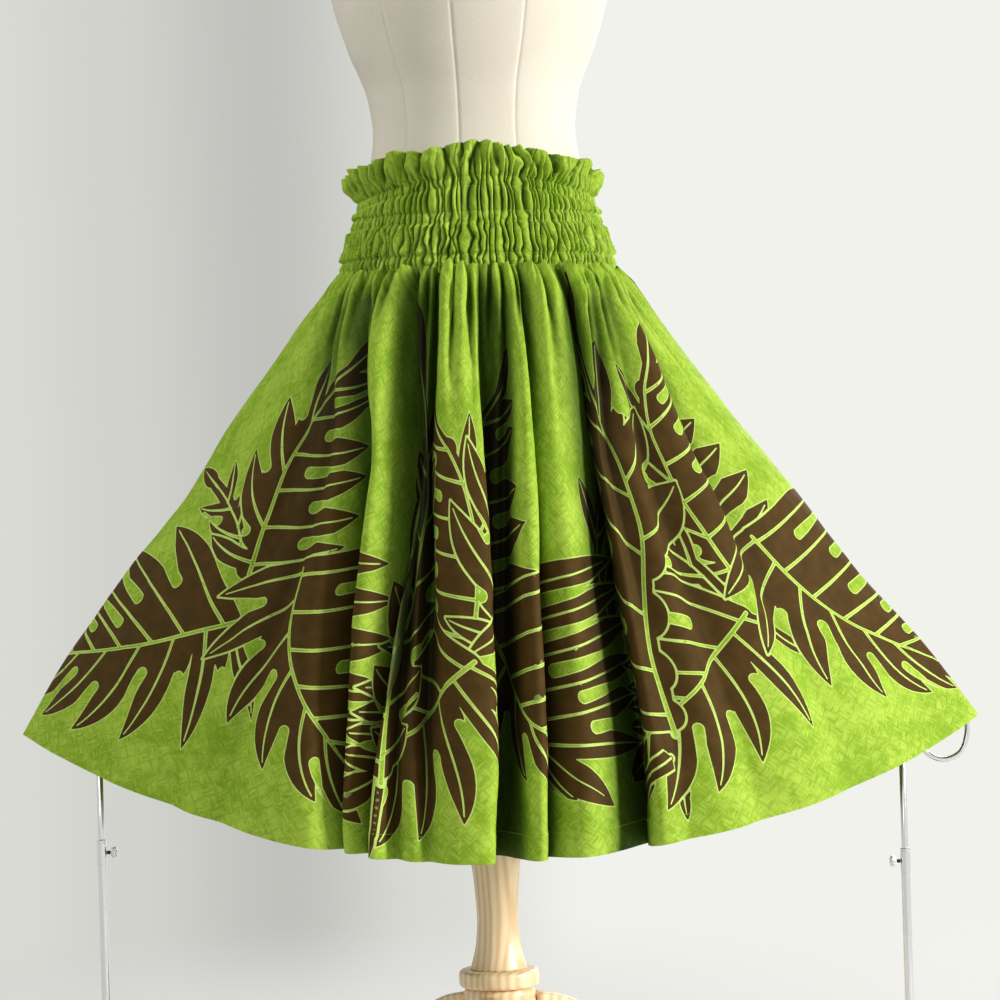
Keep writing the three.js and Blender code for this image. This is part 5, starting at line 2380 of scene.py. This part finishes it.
TALL = Frond(
    spine=((0, 0), (6, -80), (22, -160), (40, -235), (42, -300), (32, -350), (16, -395), (0, -432)),
    left=(
        Lobe(0.05, 80, 84, 26, 40), Lobe(0.16, 100, 78, 28, 54), Lobe(0.30, 122, 74, 30, 62),
        Lobe(0.45, 136, 68, 30, 64), Lobe(0.60, 142, 62, 28, 60), Lobe(0.76, 96, 44, 16, 46),
    ),
    right=(
        Lobe(0.07, 66, 66, 22, 40), Lobe(0.19, 88, 64, 26, 54), Lobe(0.34, 100, 60, 28, 58),
        Lobe(0.49, 110, 56, 28, 60), Lobe(0.64, 112, 52, 18, 56), Lobe(0.80, 108, 46, 0, 48),
    ),
    tip=42,
    rib=3.0,
    web=0.52,
)
BARE_TALL = replace(TALL, right=TALL.right[3:])
FORKED = Frond(
    spine=((0, 0), (-10, -38), (0, -78), (34, -124), (68, -168)),
    left=(Lobe(0.04, 165, 62, -24, 66), Lobe(0.40, 74, 52, 16, 34)),
    right=(Lobe(0.10, 96, 62, 26, 42), Lobe(0.42, 84, 56, 24, 40)),
    tip=44,
    rib=2.6,
)
SLIGHT = Frond(
    spine=((0, 0), (-45, -45), (-95, -68), (-140, -80)),
    left=(Lobe(0.25, 72, 46, 18, 20), Lobe(0.55, 70, 40, 16, 19)),
    right=(Lobe(0.35, 62, 42, 16, 19), Lobe(0.65, 60, 38, 14, 18)),
    tip=20,
    rib=1.7,
)
LEAFLET = Frond(spine=((0, 0), (-16, 5), (-30, 12)), left=(), right=(), tip=34, rib=1.4)
STALK = Frond(spine=((0, 0), (-5, 30), (-12, 66)), left=(), right=(), tip=12, rib=2.2)

FRONT_PRINT = (
    Sprig(SLIGHT, 205, 350), Sprig(UPRIGHT, 210, 356), Sprig(SWEPT, 224, 408), Sprig(FANNED, 288, 336),
    Sprig(UPRIGHT, 736, 398, 0, (-0.95, 0.95)), Sprig(UPRIGHT, 790, 404, 2, (1.0, 1.12)),
    Sprig(FORKED, 1100, 372), Sprig(WIDE_FAN, 822, 360, 0, (1.0, 0.82)),
    Sprig(SWEPT, 736, 410, -6, (0.98, 0.98)),
    Sprig(STALK, 556, 520), Sprig(TALL, 560, 536, 2, (0.9, 0.94)),
    Sprig(UPRIGHT, 1376, 368, -8), Sprig(SLIGHT, 1356, 392, 14), Sprig(STALK, 1222, 500),
    Sprig(SWEPT, 1368, 404, -4, (0.92, 0.93)), Sprig(BARE_TALL, 1225, 506, 0, (1.0, 0.94)),
    Sprig(FANNED, 1449, 334),
    Sprig(LEAFLET, 1210, 528, -4, (1.5, 1.2)),
)
REPEAT, FIRST = 590.0, 60.0
BACK_PRINT = tuple(
    Sprig(frond, across + FIRST + REPEAT * k, down, turn)
    for k in (-1, 0, 1, 2)
    for frond, across, down, turn in (
        (SLIGHT, 205, 350, 0), (UPRIGHT, 208, 352, 0), (SWEPT, 224, 415, -4), (FANNED, 284, 332, 0),
        (STALK, 536, 500, 0), (TALL, 540, 506, 0), (LEAFLET, 520, 528, -8),
    )
)


def main() -> None:
    """Builds and dresses every piece in order."""
    Studio().build()
    cotton, thread = [PrintedCotton(kind).material() for kind in Cotton], GREEN_THREAD.material()
    for facing, folds, creases, sprigs, seed in (
        (Facing.FRONT, FRONT_FOLDS, FRONT_CREASES, FRONT_PRINT, 3),
        (Facing.BACK, BACK_FOLDS, BACK_CREASES, BACK_PRINT, 5),
    ):
        node = f"skirt_{facing.name.lower()}"
        cloth = SkirtCloth(facing, folds, creases, seed)
        cloth.hang()
        printed = LeafPrint(cloth.flat_width, cloth.flat_length)
        for sprig in sprigs:
            printed.stamp(sprig)
        PrintedPanel(f"{node}_width", node, cloth, printed, cotton).build()
        Stitching(f"{node}_hem_stitches").build(*cloth.hem_stitches(), thread)
    waist = ShirredWaist()
    waist.build(cotton[Cotton.GROUND])
    waist.stitch(thread)
    DressForm().build()
    TurnedStand().build()
    chrome, plastic, steel = Chrome().material(), CLEAR_PLASTIC.material(), SCREW_STEEL.material()
    for stand in (
        HookStand(Side.RIGHT, 434, 312, 404, 478, 460.6),
        HookStand(Side.LEFT, 417, 346, 438, 453, 482),
    ):
        stand.build(chrome, plastic, steel)


if __name__ == "__main__":
    logging.basicConfig(level=logging.INFO, format="%(name)s: %(message)s")
    main()
